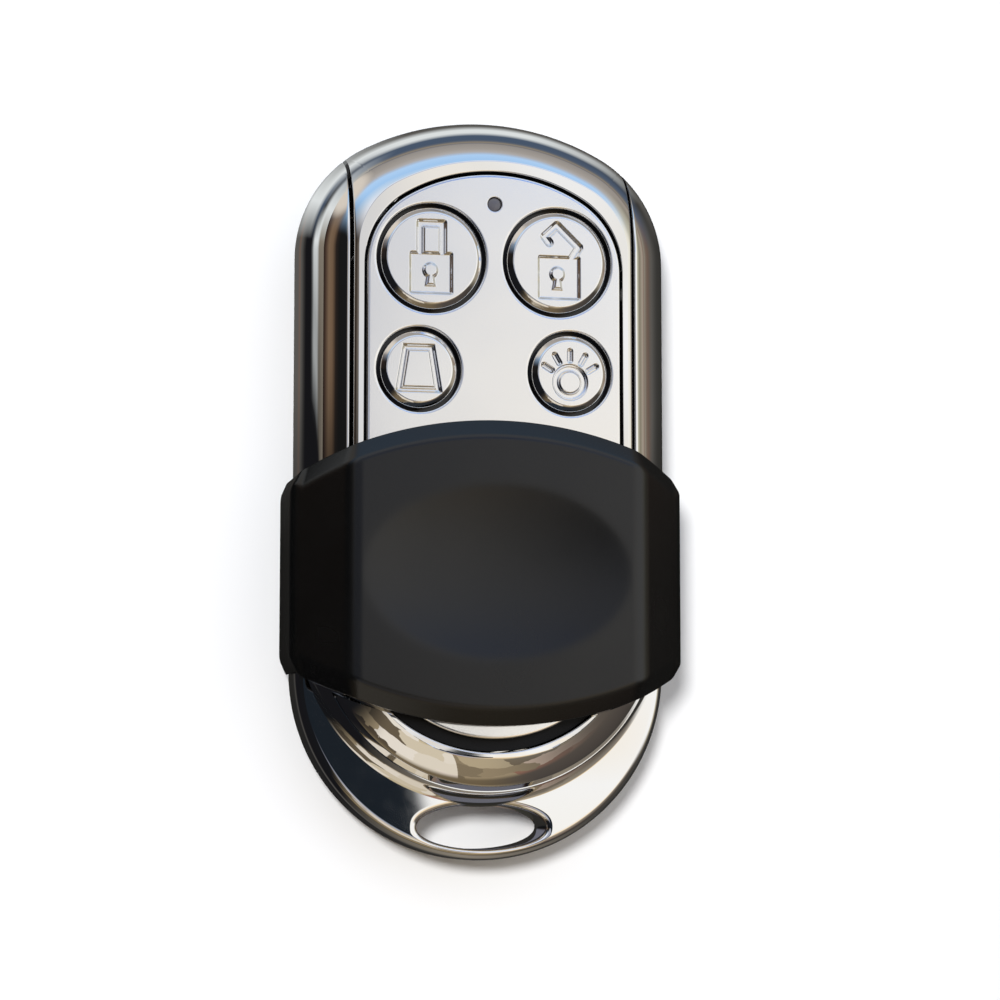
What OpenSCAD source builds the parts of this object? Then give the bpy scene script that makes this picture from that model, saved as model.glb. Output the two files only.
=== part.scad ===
// Alarm key fob: chrome body with four buttons, a key-ring eye and a sliding cover.
// It lies on its back. X runs across it, Y towards the lamp end, Z up from the back.

/* [Body] */
// Length over both ends
body_l = 66; // [62:0.5:72]
// Width across the side cheeks
body_w = 33.4; // [32.6:0.1:36]
// Height of the front rim above the back
rim_z = 12.2; // [11.9:0.1:13]
// Height of the widest line of the sides
waist_z = 5.2; // [4.9:0.1:5.6]
// Radius of the shoulders beside the lamp end's arc
shoulder_r = 11.3; // [10:0.1:12]
// Set-back of the front rim from the outline
rim_inset = 4.65; // [4.4:0.05:4.9]
// Set-back of the flat back from the outline
back_inset = 3; // [2.4:0.1:3.3]
// Height of the joint between rear cover and chassis
parting_z = 2.75; // [2.6:0.05:2.9]
// Height of the joint between chassis and bezel
bezel_z = 9.6; // [9.3:0.1:9.9]
// Set-back of the two long seams from the outline
seam_inset = 4.18; // [4:0.02:4.3]
// Width of the seam gap
seam_gap = 0.2; // [0.1:0.05:0.3]

/* [Collar and tongue] */
// Length of the tongue beyond the collar's foot
tongue_l = 4.7; // [4.3:0.1:5.5]
// Height of the tongue's face
tongue_z = 6.8; // [6.4:0.1:7.2]
// Thickness of the tongue
tongue_t = 5.5; // [5:0.1:5.6]
// Rounding of the tongue's edges
tongue_edge = 1.6; // [1.2:0.1:1.8]
// Set-back of the collar's ridge from the outline
ridge_inset = 1.75; // [1.5:0.05:2]
// Height of the ridge
ridge_z = 11; // [10.6:0.1:11.4]
// Width of the shoulder between ridge and rim
shoulder_w = 2.2; // [1.9:0.1:2.5]
// Length of the key-ring eye
eye_l = 11.6; // [10:0.2:13]
// Width of the key-ring eye
eye_w = 3.9; // [3.6:0.1:4.1]
// End radius of the eye
eye_end_r = 1; // [0.8:0.1:1.3]
// Bar of metal beyond the eye
bail_w = 1; // [0.9:0.1:1.3]

/* [Face] */
// Width of the rim along the sides
rim_side_w = 0.5; // [0.4:0.05:0.7]
// Width of the rim at the lamp end
rim_top_w = 1; // [0.8:0.1:1.4]
// Width of the rim at the collar
rim_low_w = 0.72; // [0.6:0.02:0.9]
// Extra radius of the face's arc at the lamp end over half the face
face_top_extra = 3.75; // [3:0.05:5]
// Distance of the corner centres at the lamp end from the middle
face_top_cx = 4; // [3.5:0.05:4.5]
// Extra radius of the face's arc at the collar over half the face
face_low_extra = 1.85; // [1.5:0.05:2.5]
// Distance of the corner centres at the collar from the middle
face_low_cx = 4.05; // [3.5:0.05:4.5]
// Thickness of the face plate
plate_t = 1; // [0.8:0.05:1.1]
// Gap round the plate
plate_gap = 0.35; // [0.25:0.05:0.5]
// Gap below the plate's lower edge
plate_low_gap = 1.15; // [0.9:0.05:1.3]
// Thickness of the gasket under the plate
gasket_t = 0.6; // [0.4:0.05:0.6]
// Width of the ledge that carries the gasket
ledge_w = 1.3; // [1:0.1:1.5]

/* [Buttons] */
// Distance from the face's top to the lamp
lamp_drop = 2.9; // [2.7:0.1:3.4]
// Diameter of the lamp hole
lamp_d = 1.3; // [1:0.1:1.8]
// Height of the first row above the centres of the face's corners
row_lift = 0.76; // [0:0.02:1]
// Land between a well and the plate's side
side_land = 0.7; // [0.6:0.02:1]
// Land between the wells of the first row
large_land = 1.5; // [1.4:0.05:2.5]
// Land between the wells of the second row
small_land = 5.94; // [5:0.02:7]
// Land between the two rows of wells
row_land = 1.21; // [1.2:0.01:2]
// Gap between a cap and its well
well_gap = 0.35; // [0.25:0.05:0.45]
// Height of a cap above the plate
cap_rise = 0.25; // [0.1:0.05:0.35]
// Width of the bevel round a cap
cap_bevel = 0.5; // [0.3:0.05:0.7]
// Overhang of a cap's flange beyond its well
flange_w = 0.42; // [0.35:0.01:0.45]
// Thickness of a cap's flange
flange_t = 0.8; // [0.6:0.05:0.85]
// Travel of a button
button_travel = 0.35; // [0.2:0.05:0.4]

/* [Sliding cover] */
// Length of the cover along its middle
cover_l = 26.5; // [25:0.5:28]
// Clearance of the cover's side walls beside the body
cover_gap = 0.21; // [0.15:0.01:0.4]
// Arc of the cover's two ends
cover_end_r = 34; // [30:1:40]
// Corner radius of the cover
cover_corner = 2.2; // [1.5:0.1:3]
// Height of the cover's face
cover_z = 14.2; // [14:0.1:15]
// Width of the slanted flanks, seen from above
flank_w = 4.65; // [4.4:0.05:4.9]
// Thickness of the cover's top
cover_t = 1.35; // [1.1:0.05:1.4]
// Thickness of the slanted flanks
flank_t = 1; // [0.8:0.05:1.2]
// Thickness of the side walls
cover_wall = 0.64; // [0.5:0.02:0.7]
// Width of the bevel at the cover's ends
cover_bevel = 1.2; // [0.8:0.1:1.6]
// Depth of the thumb dish
dish_depth = 0.5; // [0.3:0.05:0.6]
// Land between the thumb dish and the flanks
dish_land = 1.2; // [0.8:0.1:2]
// Width of the thumb dish along the cover
dish_w = 15.2; // [12:0.2:17]
// How far the open cover leaves the plate's end bare
cover_bare = 1.1; // [0.8:0.1:2]
// Travel of the cover
cover_travel = 20; // [16:0.5:20.5]
// Height of the lips that run in the side grooves
lip_t = 1; // [0.8:0.05:1.1]
// Reach of the lips into the grooves
lip_reach = 1.43; // [1.2:0.01:1.5]
// Length of the lips
lip_l = 13.6; // [10:0.2:15]
// Clearance of the lips in the grooves
slide_gap = 0.15; // [0.1:0.01:0.2]

/* [Inside] */
// Width of the room for the board
room_w = 20.8; // [20.6:0.1:21.2]
// Width of the room below the board
well_w = 18.8; // [18:0.1:19.2]
// Wall between the room and the lamp end's block
end_wall = 0.9; // [0.7:0.05:1.2]
// Thickness of the lamp end's block at the rim
block_t = 6.8; // [6.4:0.1:7]
// Room between the board's end and the collar's opening
low_room = 6.4; // [6:0.1:7]
// Thickness of the circuit board
board_t = 1; // [0.8:0.1:1.2]
// Height of the board's underside
board_z = 5.6; // [5.4:0.05:5.8]
// Gap round the board
board_gap = 0.2; // [0.1:0.05:0.3]
// Length of the shelf under the board at the lamp end
top_shelf = 3.7; // [3.4:0.1:4.2]
// Length of the shelf under the board at the collar
low_shelf = 4.2; // [3.6:0.1:4.6]
// Side of a switch housing
switch_w = 4.5; // [4:0.1:4.8]
// Height of a switch housing
switch_h = 1.6; // [1.4:0.05:1.7]
// Plunger diameter
plunger_d = 2; // [1.6:0.1:2.4]
// Plunger height above its housing
plunger_rise = 0.5; // [0.45:0.05:0.6]
// Coin cell diameter
cell_d = 20; // [19.4:0.1:20]
// Coin cell thickness
cell_t = 3.2; // [2.5:0.1:3.2]
// Thickness of the rear cover's floor
floor_t = 1; // [0.8:0.05:1.1]
// Thickness of the contact metal
contact_t = 0.3; // [0.2:0.05:0.35]
// Case screw diameter
case_screw_d = 1.6; // [1.4:0.1:1.8]
// Board screw diameter
board_screw_d = 1.4; // [1.2:0.1:1.5]
// Distance of the board screws from the board's edges
board_land = 1.7; // [1.5:0.1:2]
// Distance of the lamp end's case screws from the middle
case_top_x = 4.5; // [3:0.1:6]
// Distance of those screws from the inner face of the block
case_top_land = 1.5; // [1.2:0.1:2]
// Distance of the collar's case screws from the middle
case_low_x = 8; // [6:0.1:8.4]
// Distance of those screws from the room
case_low_land = 2.3; // [2:0.1:2.6]
// Reach of the board screws into the chassis
board_screw_l = 2.4; // [2:0.1:2.6]
// Height of the board screws' heads
board_head_t = 0.6; // [0.4:0.05:0.8]
// Rim of a screw's head beyond its shank
head_rim = 0.5; // [0.4:0.05:0.6]

/* [Small parts] */
// Length of the radio chip
chip_l = 4.9; // [4:0.1:5]
// Width of the radio chip
chip_w = 3.9; // [3:0.1:4]
// Height of the radio chip
chip_h = 1.2; // [0.8:0.1:1.4]
// Distance between the chip's leads
lead_pitch = 1.2; // [0.8:0.1:1.27]
// Width of a lead
lead_w = 0.4; // [0.3:0.05:0.5]
// Reach of a lead beyond the chip
lead_l = 0.8; // [0.5:0.1:1]
// Thickness of a lead
lead_t = 0.25; // [0.15:0.05:0.3]
// Diameter of the resonator can
can_d = 4; // [3:0.1:4.2]
// Height of the resonator can
can_h = 1.6; // [1.2:0.1:2]
// Brim round the can's foot
can_brim = 0.3; // [0.2:0.05:0.4]
// Thickness of the brim
brim_t = 0.4; // [0.3:0.05:0.5]
// Distance of the can from the second row
can_drop = 4; // [3.5:0.1:4.5]
// Length of a passive
passive_l = 1; // [0.8:0.1:1.2]
// Width of a passive
passive_w = 0.5; // [0.4:0.05:0.6]
// Height of a passive
passive_h = 0.45; // [0.3:0.05:0.5]
// Distance between the passives
passive_pitch = 1.6; // [1.4:0.1:1.8]
// Distance of the passives from the second row
passive_drop = 8.5; // [8:0.1:9.5]
// Width of the loop antenna
loop_w = 13; // [10:0.5:14]
// Length of the loop antenna
loop_l = 7; // [5:0.5:8]
// Width of the loop's strip
loop_strip = 0.9; // [0.6:0.1:1.2]
// Thickness of the loop
loop_t = 0.25; // [0.15:0.05:0.3]
// Gap at the loop's feed
loop_feed = 1.2; // [0.8:0.1:1.6]
// Distance of the loop from the board's end
loop_land = 1.2; // [1:0.1:1.6]
// Length of the battery spring
leaf_l = 7; // [6:0.2:8]
// Width of the battery spring
leaf_w = 3; // [2:0.1:4]
// Width of a battery clip's foot
clip_foot = 5; // [4:0.1:6]
// Reach of that foot over the cell
clip_reach = 2; // [1.5:0.1:2.5]
// Length of the lamp's chip
led_l = 1.6; // [1.2:0.1:2]
// Width of the lamp's chip
led_w = 0.8; // [0.6:0.1:1]
// Height of the lamp's chip
led_h = 0.8; // [0.6:0.1:1]
// Rim of the light pipe's collar
pipe_rim = 0.3; // [0.2:0.05:0.5]
// Thickness of that collar
pipe_collar_t = 0.7; // [0.5:0.05:0.9]
// Step at the edge of the coin cell
cell_step = 0.35; // [0.25:0.05:0.5]
// Width of that step
cell_step_w = 1.2; // [0.8:0.1:1.5]

/* [Hidden] */
$fn = 96;

// A margin for cuts that pass right through
over = 1;
// A small sit-in where a cut has to reach past a face
hair = 0.01;
// Clearance of a screw in its hole
screw_gap = 0.05;
// Clearance of small parts beside each other
small_gap = 0.1;

// Body outline: straight sides, a half circle at the collar, shoulders and an arc at the lamp end
half_w = body_w / 2;
top_y = body_l / 2;
seam_x = half_w - seam_inset;
// The arc's centre and a shoulder's centre span an 8 : 15 : 17 triangle, so the two meet smoothly
shoulder_cx = half_w - shoulder_r;
top_r = shoulder_r + shoulder_cx * 17 / 8;
top_cy = top_y - top_r;
shoulder_cy = top_cy + shoulder_cx * 15 / 8;
shoulder_angle = atan2(15, 8);
end_cy = -top_y + tongue_l + half_w;
tip_cy = -top_y + half_w;

// Side profile: an arc above the widest line and an arc below it, their radii in whole hundredths
upper_h = rim_z - waist_z;
upper_r = round(50 * (pow(upper_h, 2) + pow(rim_inset, 2)) / rim_inset) / 100;
lower_r = round(50 * (pow(waist_z, 2) + pow(back_inset, 2)) / back_inset) / 100;
function inset_above(z) = upper_r - sqrt(pow(upper_r, 2) - pow(z - waist_z, 2));
function inset_below(z) = lower_r - sqrt(pow(lower_r, 2) - pow(waist_z - z, 2));

// Collar at the key-ring end
ridge_r = half_w - ridge_inset;
flat_r = ridge_r - shoulder_w;
collar_lap = 0.05;
foot_r = half_w - inset_above(bezel_z) + collar_lap;
tongue_back_z = tongue_z - tongue_t;
tongue_step_y = end_cy - half_w / 2;
eye_cy = -top_y + bail_w + eye_w / 2;
eye_side_k = (pow(eye_l / 2 - eye_end_r, 2) - pow(eye_w / 2 - eye_end_r, 2))
    / (2 * (eye_w / 2 - eye_end_r));
eye_side_r = eye_w / 2 + eye_side_k;
eye_meet_x = (eye_l / 2 - eye_end_r) * eye_side_r / (eye_side_r - eye_end_r);

// Face: the opening in the bezel, and the plate and gasket inside it
open_half = half_w - rim_inset - rim_side_w;
open_top = top_y - rim_inset - rim_top_w;
open_low = end_cy - flat_r + rim_low_w;
face_top_r = open_half + face_top_extra;
face_top_corner = open_half - face_top_cx;
face_top_cy = open_top - face_top_r + sqrt(pow(face_top_r - face_top_corner, 2) - pow(face_top_cx, 2));
face_low_r = open_half + face_low_extra;
face_low_corner = open_half - face_low_cx;
plate_half = open_half - plate_gap;
plate_low = open_low + plate_low_gap;
gasket_z = rim_z - plate_t - gasket_t;
plate_z = rim_z - plate_t;

// Buttons
large_well_d = plate_half - side_land - large_land / 2;
small_well_d = plate_half - side_land - small_land / 2;
large_pitch = large_well_d + large_land;
small_pitch = small_well_d + small_land;
row_pitch = (large_well_d + small_well_d) / 2 + row_land;
lamp_y = open_top - lamp_drop;
large_y = face_top_cy + row_lift;
small_y = large_y - row_pitch;
cap_z = rim_z + cap_rise;
board_top = board_z + board_t;
switch_top = board_top + switch_h;
plunger_top = switch_top + plunger_rise;
flange_top = plate_z - small_gap;
flange_z = flange_top - flange_t;
post_d = plunger_d + 0.4;

// Sliding cover at rest, pushed down to leave the buttons bare
cover_low = plate_low + cover_bare;
cover_top = cover_low + cover_l;
cover_mid = (cover_low + cover_top) / 2;
cover_inner = half_w + cover_gap;
cover_half = cover_inner + cover_wall;
cover_face_w = 2 * (cover_half - flank_w);
dish_l = cover_face_w - 2 * dish_land;
flank_sum = cover_face_w / 2 + cover_z;
ceiling_z = cover_z - cover_t;
inner_sum = flank_sum - flank_t * sqrt(2);
lip_z = parting_z + slide_gap;
lip_x = cover_inner - lip_reach;
groove_x = lip_x - slide_gap;
groove_top = lip_z + lip_t + slide_gap;
groove_low = cover_mid - lip_l / 2 - slide_gap;
groove_end = cover_mid + lip_l / 2 + cover_travel + slide_gap;
stop_r = cover_end_r + slide_gap;
stop_cy = cover_low + cover_end_r;
rail_low = cover_low - slide_gap - 0.6;

// Room inside
block_y = top_y - block_t;
room_top = block_y - end_wall;
room_low = open_low + low_room;
board_half = room_w / 2 - board_gap;
board_top_y = room_top - board_gap;
board_low_y = room_low + board_gap;
cell_y = (room_top + room_low) / 2 - 0.6;
cell_z = floor_t + small_gap;
cell_bore_r = cell_d / 2 + contact_t + 0.45;
board_screw_x = board_half - board_land;
board_screw_y = [board_low_y + board_land, board_top_y - board_land];
case_top_y = block_y + case_top_land;
case_low_y = room_low - case_low_land;
case_screw_places = [
    [-case_top_x, case_top_y], [case_top_x, case_top_y], [-case_low_x, case_low_y], [case_low_x, case_low_y]
];
case_head_d = case_screw_d + 2 * head_rim;
case_screw_top = bezel_z - 1;

// Half of the side profile, from the middle of the body to an outline of radius r
module side_profile(r) {
    intersection() {
        translate([r - upper_r, waist_z]) circle(upper_r);
        translate([0, waist_z]) square([r, upper_h]);
    }
    translate([0, waist_z]) square([r - upper_r, upper_h]);
    intersection() {
        translate([r - lower_r, waist_z]) circle(lower_r);
        square([r, waist_z]);
    }
    square([r - lower_r, waist_z]);
}

// The whole body without its tongue
module body_shell() {
    translate([0, shoulder_cy, 0]) rotate([90, 0, 0]) linear_extrude(shoulder_cy - end_cy) {
        side_profile(half_w);
        mirror([1, 0]) side_profile(half_w);
    }
    translate([0, end_cy, 0]) rotate_extrude(angle = 180, start = 180) side_profile(half_w);
    for (side = [0, 1]) mirror([side, 0, 0]) translate([shoulder_cx, shoulder_cy, 0])
        rotate_extrude(angle = shoulder_angle, start = 0) side_profile(shoulder_r);
    translate([0, top_cy, 0])
        rotate_extrude(angle = 180 - 2 * shoulder_angle, start = shoulder_angle) side_profile(top_r);
}

// Half of the tongue's profile, with rounded edges
module tongue_profile() {
    straight = half_w - tongue_edge;
    translate([0, tongue_back_z]) square([straight, tongue_t]);
    translate([straight, tongue_back_z + tongue_edge]) square([tongue_edge, tongue_t - 2 * tongue_edge]);
    for (z = [tongue_back_z + tongue_edge, tongue_z - tongue_edge])
        translate([straight, z]) circle(tongue_edge);
}

// Tongue that carries the key-ring eye
module tongue() {
    difference() {
        union() {
            translate([0, end_cy, 0]) rotate([90, 0, 0]) linear_extrude(end_cy - tip_cy) {
                tongue_profile();
                mirror([1, 0]) tongue_profile();
            }
            translate([0, tip_cy, 0]) rotate_extrude(angle = 180, start = 180) tongue_profile();
        }
        translate([-half_w - over, tongue_step_y, -over]) cube([body_w + 2 * over, body_l, parting_z + over]);
        translate([0, end_cy, -over]) cylinder(r = half_w - inset_below(parting_z) + small_gap, h = parting_z + over);
        eye();
    }
}

// Key-ring eye: an oval of two flat arcs and two round ends
module eye() {
    translate([0, eye_cy, tongue_back_z - over]) {
        for (side = [-1, 1])
            translate([side * (eye_l / 2 - eye_end_r), 0, 0]) cylinder(r = eye_end_r, h = tongue_t + 2 * over);
        linear_extrude(tongue_t + 2 * over) intersection() {
            translate([0, eye_side_k]) circle(eye_side_r);
            translate([0, -eye_side_k]) circle(eye_side_r);
            square([2 * eye_meet_x, eye_w + over], center = true);
        }
    }
}

// Outline of the face: straight sides, an arc at each end and four round corners
module face_outline(half, high_y, low_y, top_arc, top_corner, low_arc, low_corner) {
    top_c = high_y - top_arc;
    low_c = low_y + low_arc;
    top_x = half - top_corner;
    low_x = half - low_corner;
    top_h = sqrt(pow(top_arc - top_corner, 2) - pow(top_x, 2));
    low_h = sqrt(pow(low_arc - low_corner, 2) - pow(low_x, 2));
    top_k = 1.5 * top_arc / top_h;
    low_k = 1.5 * low_arc / low_h;
    translate([-half, low_c - low_h]) square([2 * half, top_c + top_h - low_c + low_h]);
    for (side = [-1, 1]) {
        translate([side * top_x, top_c + top_h]) circle(top_corner);
        translate([side * low_x, low_c - low_h]) circle(low_corner);
    }
    translate([0, top_c]) intersection() {
        circle(top_arc);
        polygon([[0, 0], [top_k * top_x, top_k * top_h], [-top_k * top_x, top_k * top_h]]);
    }
    translate([0, low_c]) intersection() {
        circle(low_arc);
        polygon([[0, 0], [-low_k * low_x, -low_k * low_h], [low_k * low_x, -low_k * low_h]]);
    }
}

// The bezel's opening, drawn in by a distance all round
module opening_outline(inset) {
    face_outline(open_half - inset, open_top - inset, open_low + inset, face_top_r - inset,
        face_top_corner - inset, face_low_r - inset, face_low_corner - inset);
}

// Places of the four buttons, with their well diameters
function button_place(name) =
    name == "lock" ? [-large_pitch / 2, large_y] :
    name == "unlock" ? [large_pitch / 2, large_y] :
    name == "bell" ? [-small_pitch / 2, small_y] : [small_pitch / 2, small_y];
function well_d(name) = name == "lock" || name == "unlock" ? large_well_d : small_well_d;
button_names = ["lock", "unlock", "bell", "light"];

// Room round the flanges of the buttons
module flange_room(z, h) {
    for (name = button_names)
        translate([button_place(name)[0], button_place(name)[1], z])
            cylinder(d = well_d(name) + 2 * flange_w + 0.3, h = h);
}

// Space that the bezel fills, widened by a gap: two long rails, the lamp end's block and the collar
module bezel_space(gap) {
    half = seam_x - seam_gap / 2 + gap;
    translate([-half, 0, 0]) rotate([90, 0, 90]) linear_extrude(2 * half)
        polygon([
            [rail_low, bezel_z], [block_y - gap, bezel_z], [block_y - gap, parting_z],
            [top_y + over, parting_z], [top_y + over, rim_z + over], [rail_low, rim_z + over]
        ]);
}

// Everything on the key-ring side of the open cover's lower edge
module collar_space(gap) {
    translate([0, 0, bezel_z]) linear_extrude(rim_z) difference() {
        translate([-body_w, end_cy - body_w]) square([2 * body_w, body_w]);
        translate([0, stop_cy]) circle(stop_r - gap);
    }
}

module case_screw_holes(d) {
    for (p = case_screw_places)
        translate([p[0], p[1], -over]) cylinder(d = d, h = case_screw_top + 0.3 + over);
}

module chassis() {
    color("gainsboro") difference() {
        union() {
            difference() {
                body_shell();
                translate([-body_w, -body_l, -over]) cube([2 * body_w, 2 * body_l, parting_z + over]);
            }
            tongue();
        }
        bezel_space(seam_gap);
        collar_space(seam_gap);
        translate([-room_w / 2, room_low, board_z]) cube([room_w, room_top - room_low, rim_z]);
        translate([-well_w / 2, room_low + low_shelf, 0])
            cube([well_w, room_top - room_low - top_shelf - low_shelf, board_z + over]);
        translate([0, cell_y, 0]) cylinder(r = cell_bore_r, h = board_z + hair);
        for (side = [0, 1]) mirror([side, 0, 0])
            translate([groove_x, groove_low, parting_z - over])
                cube([half_w, groove_end - groove_low, groove_top - parting_z + over]);
        case_screw_holes(case_screw_d + 2 * screw_gap);
        for (x = [-board_screw_x, board_screw_x]) for (y = board_screw_y)
            translate([x, y, 0]) cylinder(d = board_screw_d + 2 * screw_gap, h = board_z + over);
    }
}

module front_bezel() {
    color("whitesmoke") difference() {
        union() {
            intersection() {
                body_shell();
                bezel_space(0);
            }
            intersection() {
                translate([0, end_cy, 0]) rotate_extrude(angle = 180, start = 180)
                    polygon([[0, bezel_z], [foot_r, bezel_z], [ridge_r, ridge_z], [flat_r, rim_z], [0, rim_z]]);
                collar_space(0);
            }
        }
        translate([0, 0, gasket_z]) linear_extrude(rim_z) opening_outline(0);
        linear_extrude(rim_z) opening_outline(ledge_w);
        flange_room(bezel_z - over, rim_z);
        case_screw_holes(case_screw_d + 2 * screw_gap);
    }
}

module rear_cover() {
    color("silver") difference() {
        body_shell();
        translate([-body_w, -body_l, parting_z]) cube([2 * body_w, 2 * body_l, rim_z]);
        translate([0, cell_y, floor_t]) cylinder(d = cell_d + 0.4, h = parting_z);
        case_screw_holes(case_screw_d + 2 * screw_gap);
        for (p = case_screw_places)
            translate([p[0], p[1], -over]) cylinder(d = case_head_d + 0.2, h = floor_t + over);
    }
}

module face_plate() {
    color("lightgray") difference() {
        translate([0, 0, plate_z]) linear_extrude(plate_t)
            face_outline(plate_half, open_top - plate_gap, plate_low, face_top_r - plate_gap,
                face_top_corner - plate_gap, face_low_r - plate_low_gap, face_low_corner - plate_low_gap);
        for (name = button_names)
            translate([button_place(name)[0], button_place(name)[1], plate_z - over])
                cylinder(d = well_d(name), h = plate_t + 2 * over);
        translate([0, lamp_y, plate_z - over]) cylinder(d = lamp_d, h = plate_t + 2 * over);
    }
}

module plate_gasket() {
    color("dimgray") difference() {
        translate([0, 0, gasket_z]) linear_extrude(gasket_t) opening_outline(small_gap);
        translate([0, 0, gasket_z - over]) linear_extrude(gasket_t + 2 * over) opening_outline(ledge_w + small_gap);
        flange_room(gasket_z - over, gasket_t + 2 * over);
    }
}

// Cross-section of the cover's outside, drawn in by a distance
module cover_section(inset) {
    half = cover_half - inset / 2;
    sum = flank_sum - inset * sqrt(2);
    polygon([
        [-half, lip_z], [half, lip_z], [half, sum - half], [sum - cover_z + inset, cover_z - inset],
        [-(sum - cover_z + inset), cover_z - inset], [-half, sum - half]
    ]);
}

// Plan of the cover, drawn in at its ends by a distance
module cover_plan(inset) {
    half = cover_half - cover_corner;
    side_h = sqrt(pow(cover_end_r - cover_corner, 2) - pow(half, 2));
    intersection() {
        hull() for (side = [-1, 1]) for (end = [-1, 1])
            translate([side * half, cover_mid + end * (cover_l / 2 - cover_end_r + side_h)])
                circle(cover_corner, $fn = 48);
        translate([-cover_half, cover_low + inset]) square([2 * cover_half, cover_l - 2 * inset]);
    }
    intersection() {
        translate([0, cover_top - inset - cover_end_r]) circle(cover_end_r, $fn = 180);
        translate([0, cover_low + inset + cover_end_r]) circle(cover_end_r, $fn = 180);
        translate([-half, cover_low]) square([2 * half, cover_l]);
    }
}

// A bar with the cover's cross-section, cut to its plan
module cover_block(section_inset, plan_inset) {
    intersection() {
        translate([0, cover_top + over, 0]) rotate([90, 0, 0]) linear_extrude(cover_l + 2 * over)
            cover_section(section_inset);
        linear_extrude(cover_z + over) cover_plan(plan_inset);
    }
}

// Shallow oval dish: an arc turned about a line across the cover
module thumb_dish() {
    long_r = (pow(dish_l / 2, 2) + pow(dish_depth, 2)) / (2 * dish_depth);
    short_r = (pow(dish_w / 2, 2) + pow(dish_depth, 2)) / (2 * dish_depth);
    translate([0, cover_mid, cover_z - dish_depth + short_r]) rotate([0, 90, 0])
        rotate_extrude() intersection() {
            translate([short_r - long_r, 0]) circle(long_r, $fn = 360);
            translate([0, -dish_l]) square([short_r, 2 * dish_l]);
        }
}

module slide_cover() {
    color([0.12, 0.12, 0.12]) difference() {
        hull() {
            cover_block(0, cover_bevel);
            cover_block(cover_bevel * 0.8, 0);
        }
        translate([0, cover_top + over, 0]) rotate([90, 0, 0]) linear_extrude(cover_l + 2 * over)
            polygon([
                [-lip_x, 0], [lip_x, 0], [lip_x, lip_z + lip_t], [cover_inner, lip_z + lip_t],
                [cover_inner, inner_sum - cover_inner], [inner_sum - ceiling_z, ceiling_z],
                [ceiling_z - inner_sum, ceiling_z], [-cover_inner, inner_sum - cover_inner],
                [-cover_inner, lip_z + lip_t], [-lip_x, lip_z + lip_t]
            ]);
        for (end = [-1, 1])
            translate([-cover_inner, cover_mid + (end - 1) * cover_l / 2 + end * lip_l / 2, 0])
                cube([2 * cover_inner, cover_l, lip_z + lip_t + hair]);
        thumb_dish();
    }
}

// Button cap: bevelled face, flange under the plate and a post to the switch
module button(name) {
    p = button_place(name);
    r = well_d(name) / 2 - well_gap;
    flange_r = well_d(name) / 2 + flange_w;
    color("lightsteelblue") translate([p[0], p[1], 0]) rotate_extrude()
        polygon([
            [0, plunger_top], [post_d / 2, plunger_top], [post_d / 2, flange_z], [flange_r, flange_z],
            [flange_r, flange_top], [r, flange_top], [r, cap_z - cap_bevel / 2], [r - cap_bevel, cap_z], [0, cap_z]
        ]);
}

module plunger(name) {
    p = button_place(name);
    color("goldenrod") translate([p[0], p[1], switch_top - button_travel - small_gap])
        cylinder(d = plunger_d, h = plunger_rise + button_travel + small_gap);
}

module lock_button() { button("lock"); }
module unlock_button() { button("unlock"); }
module bell_button() { button("bell"); }
module light_button() { button("light"); }
module lock_plunger() { plunger("lock"); }
module unlock_plunger() { plunger("unlock"); }
module bell_plunger() { plunger("bell"); }
module light_plunger() { plunger("light"); }

module switch_housings() {
    bore_floor = switch_top - 2 * button_travel - 2 * small_gap;
    color("dimgray") for (name = button_names) difference() {
        translate([button_place(name)[0] - switch_w / 2, button_place(name)[1] - switch_w / 2, board_top])
            cube([switch_w, switch_w, switch_h]);
        translate([button_place(name)[0], button_place(name)[1], bore_floor])
            cylinder(d = plunger_d + 0.2, h = switch_h);
    }
}

module circuit_board() {
    color("seagreen") difference() {
        translate([-board_half, board_low_y, board_z]) cube([2 * board_half, board_top_y - board_low_y, board_t]);
        for (x = [-board_screw_x, board_screw_x]) for (y = board_screw_y)
            translate([x, y, board_z - over]) cylinder(d = board_screw_d + 2 * screw_gap, h = board_t + 2 * over);
    }
}

module status_led() {
    color("red") translate([-led_l / 2, lamp_y - led_w / 2, board_top]) cube([led_l, led_w, led_h]);
}

module light_pipe() {
    color("ivory") translate([0, lamp_y, 0]) {
        translate([0, 0, board_top + led_h + small_gap])
            cylinder(d = lamp_d - 2 * screw_gap, h = rim_z - small_gap - board_top - led_h - small_gap);
        translate([0, 0, plate_z - pipe_collar_t]) cylinder(d = lamp_d + 2 * pipe_rim, h = pipe_collar_t);
    }
}

module coin_cell() {
    color("silver") translate([0, cell_y, cell_z]) {
        cylinder(d = cell_d, h = cell_t - cell_step);
        cylinder(d = cell_d - 2 * cell_step_w, h = cell_t);
    }
}

// Two bowed arms that grip the cell's rim, with feet under the board
module battery_clip() {
    inner = cell_d / 2 + small_gap;
    arm_z = parting_z + contact_t;
    color("darkkhaki") translate([0, cell_y, 0]) for (start = [60, 240]) {
        rotate_extrude(angle = 60, start = start)
            translate([inner, arm_z]) square([contact_t, board_z - arm_z]);
        rotate([0, 0, start + 30]) translate([inner - clip_reach, -clip_foot / 2, board_z - contact_t])
            cube([clip_reach + contact_t / 2, clip_foot, contact_t]);
    }
}

// Leaf under the board that presses on the cell's face
module battery_spring() {
    low = cell_z + cell_t;
    color("peru") translate([-leaf_w / 2, cell_y, 0]) rotate([90, 0, 90]) linear_extrude(leaf_w)
        polygon([
            [-leaf_l / 2, board_z], [-leaf_l / 2, board_z - contact_t], [-leaf_l / 4, board_z - contact_t],
            [0, low], [leaf_l / 4, low + contact_t], [leaf_l / 4, low + 2 * contact_t], [0, low + contact_t],
            [-leaf_l / 4 + contact_t, board_z]
        ]);
}

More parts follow.
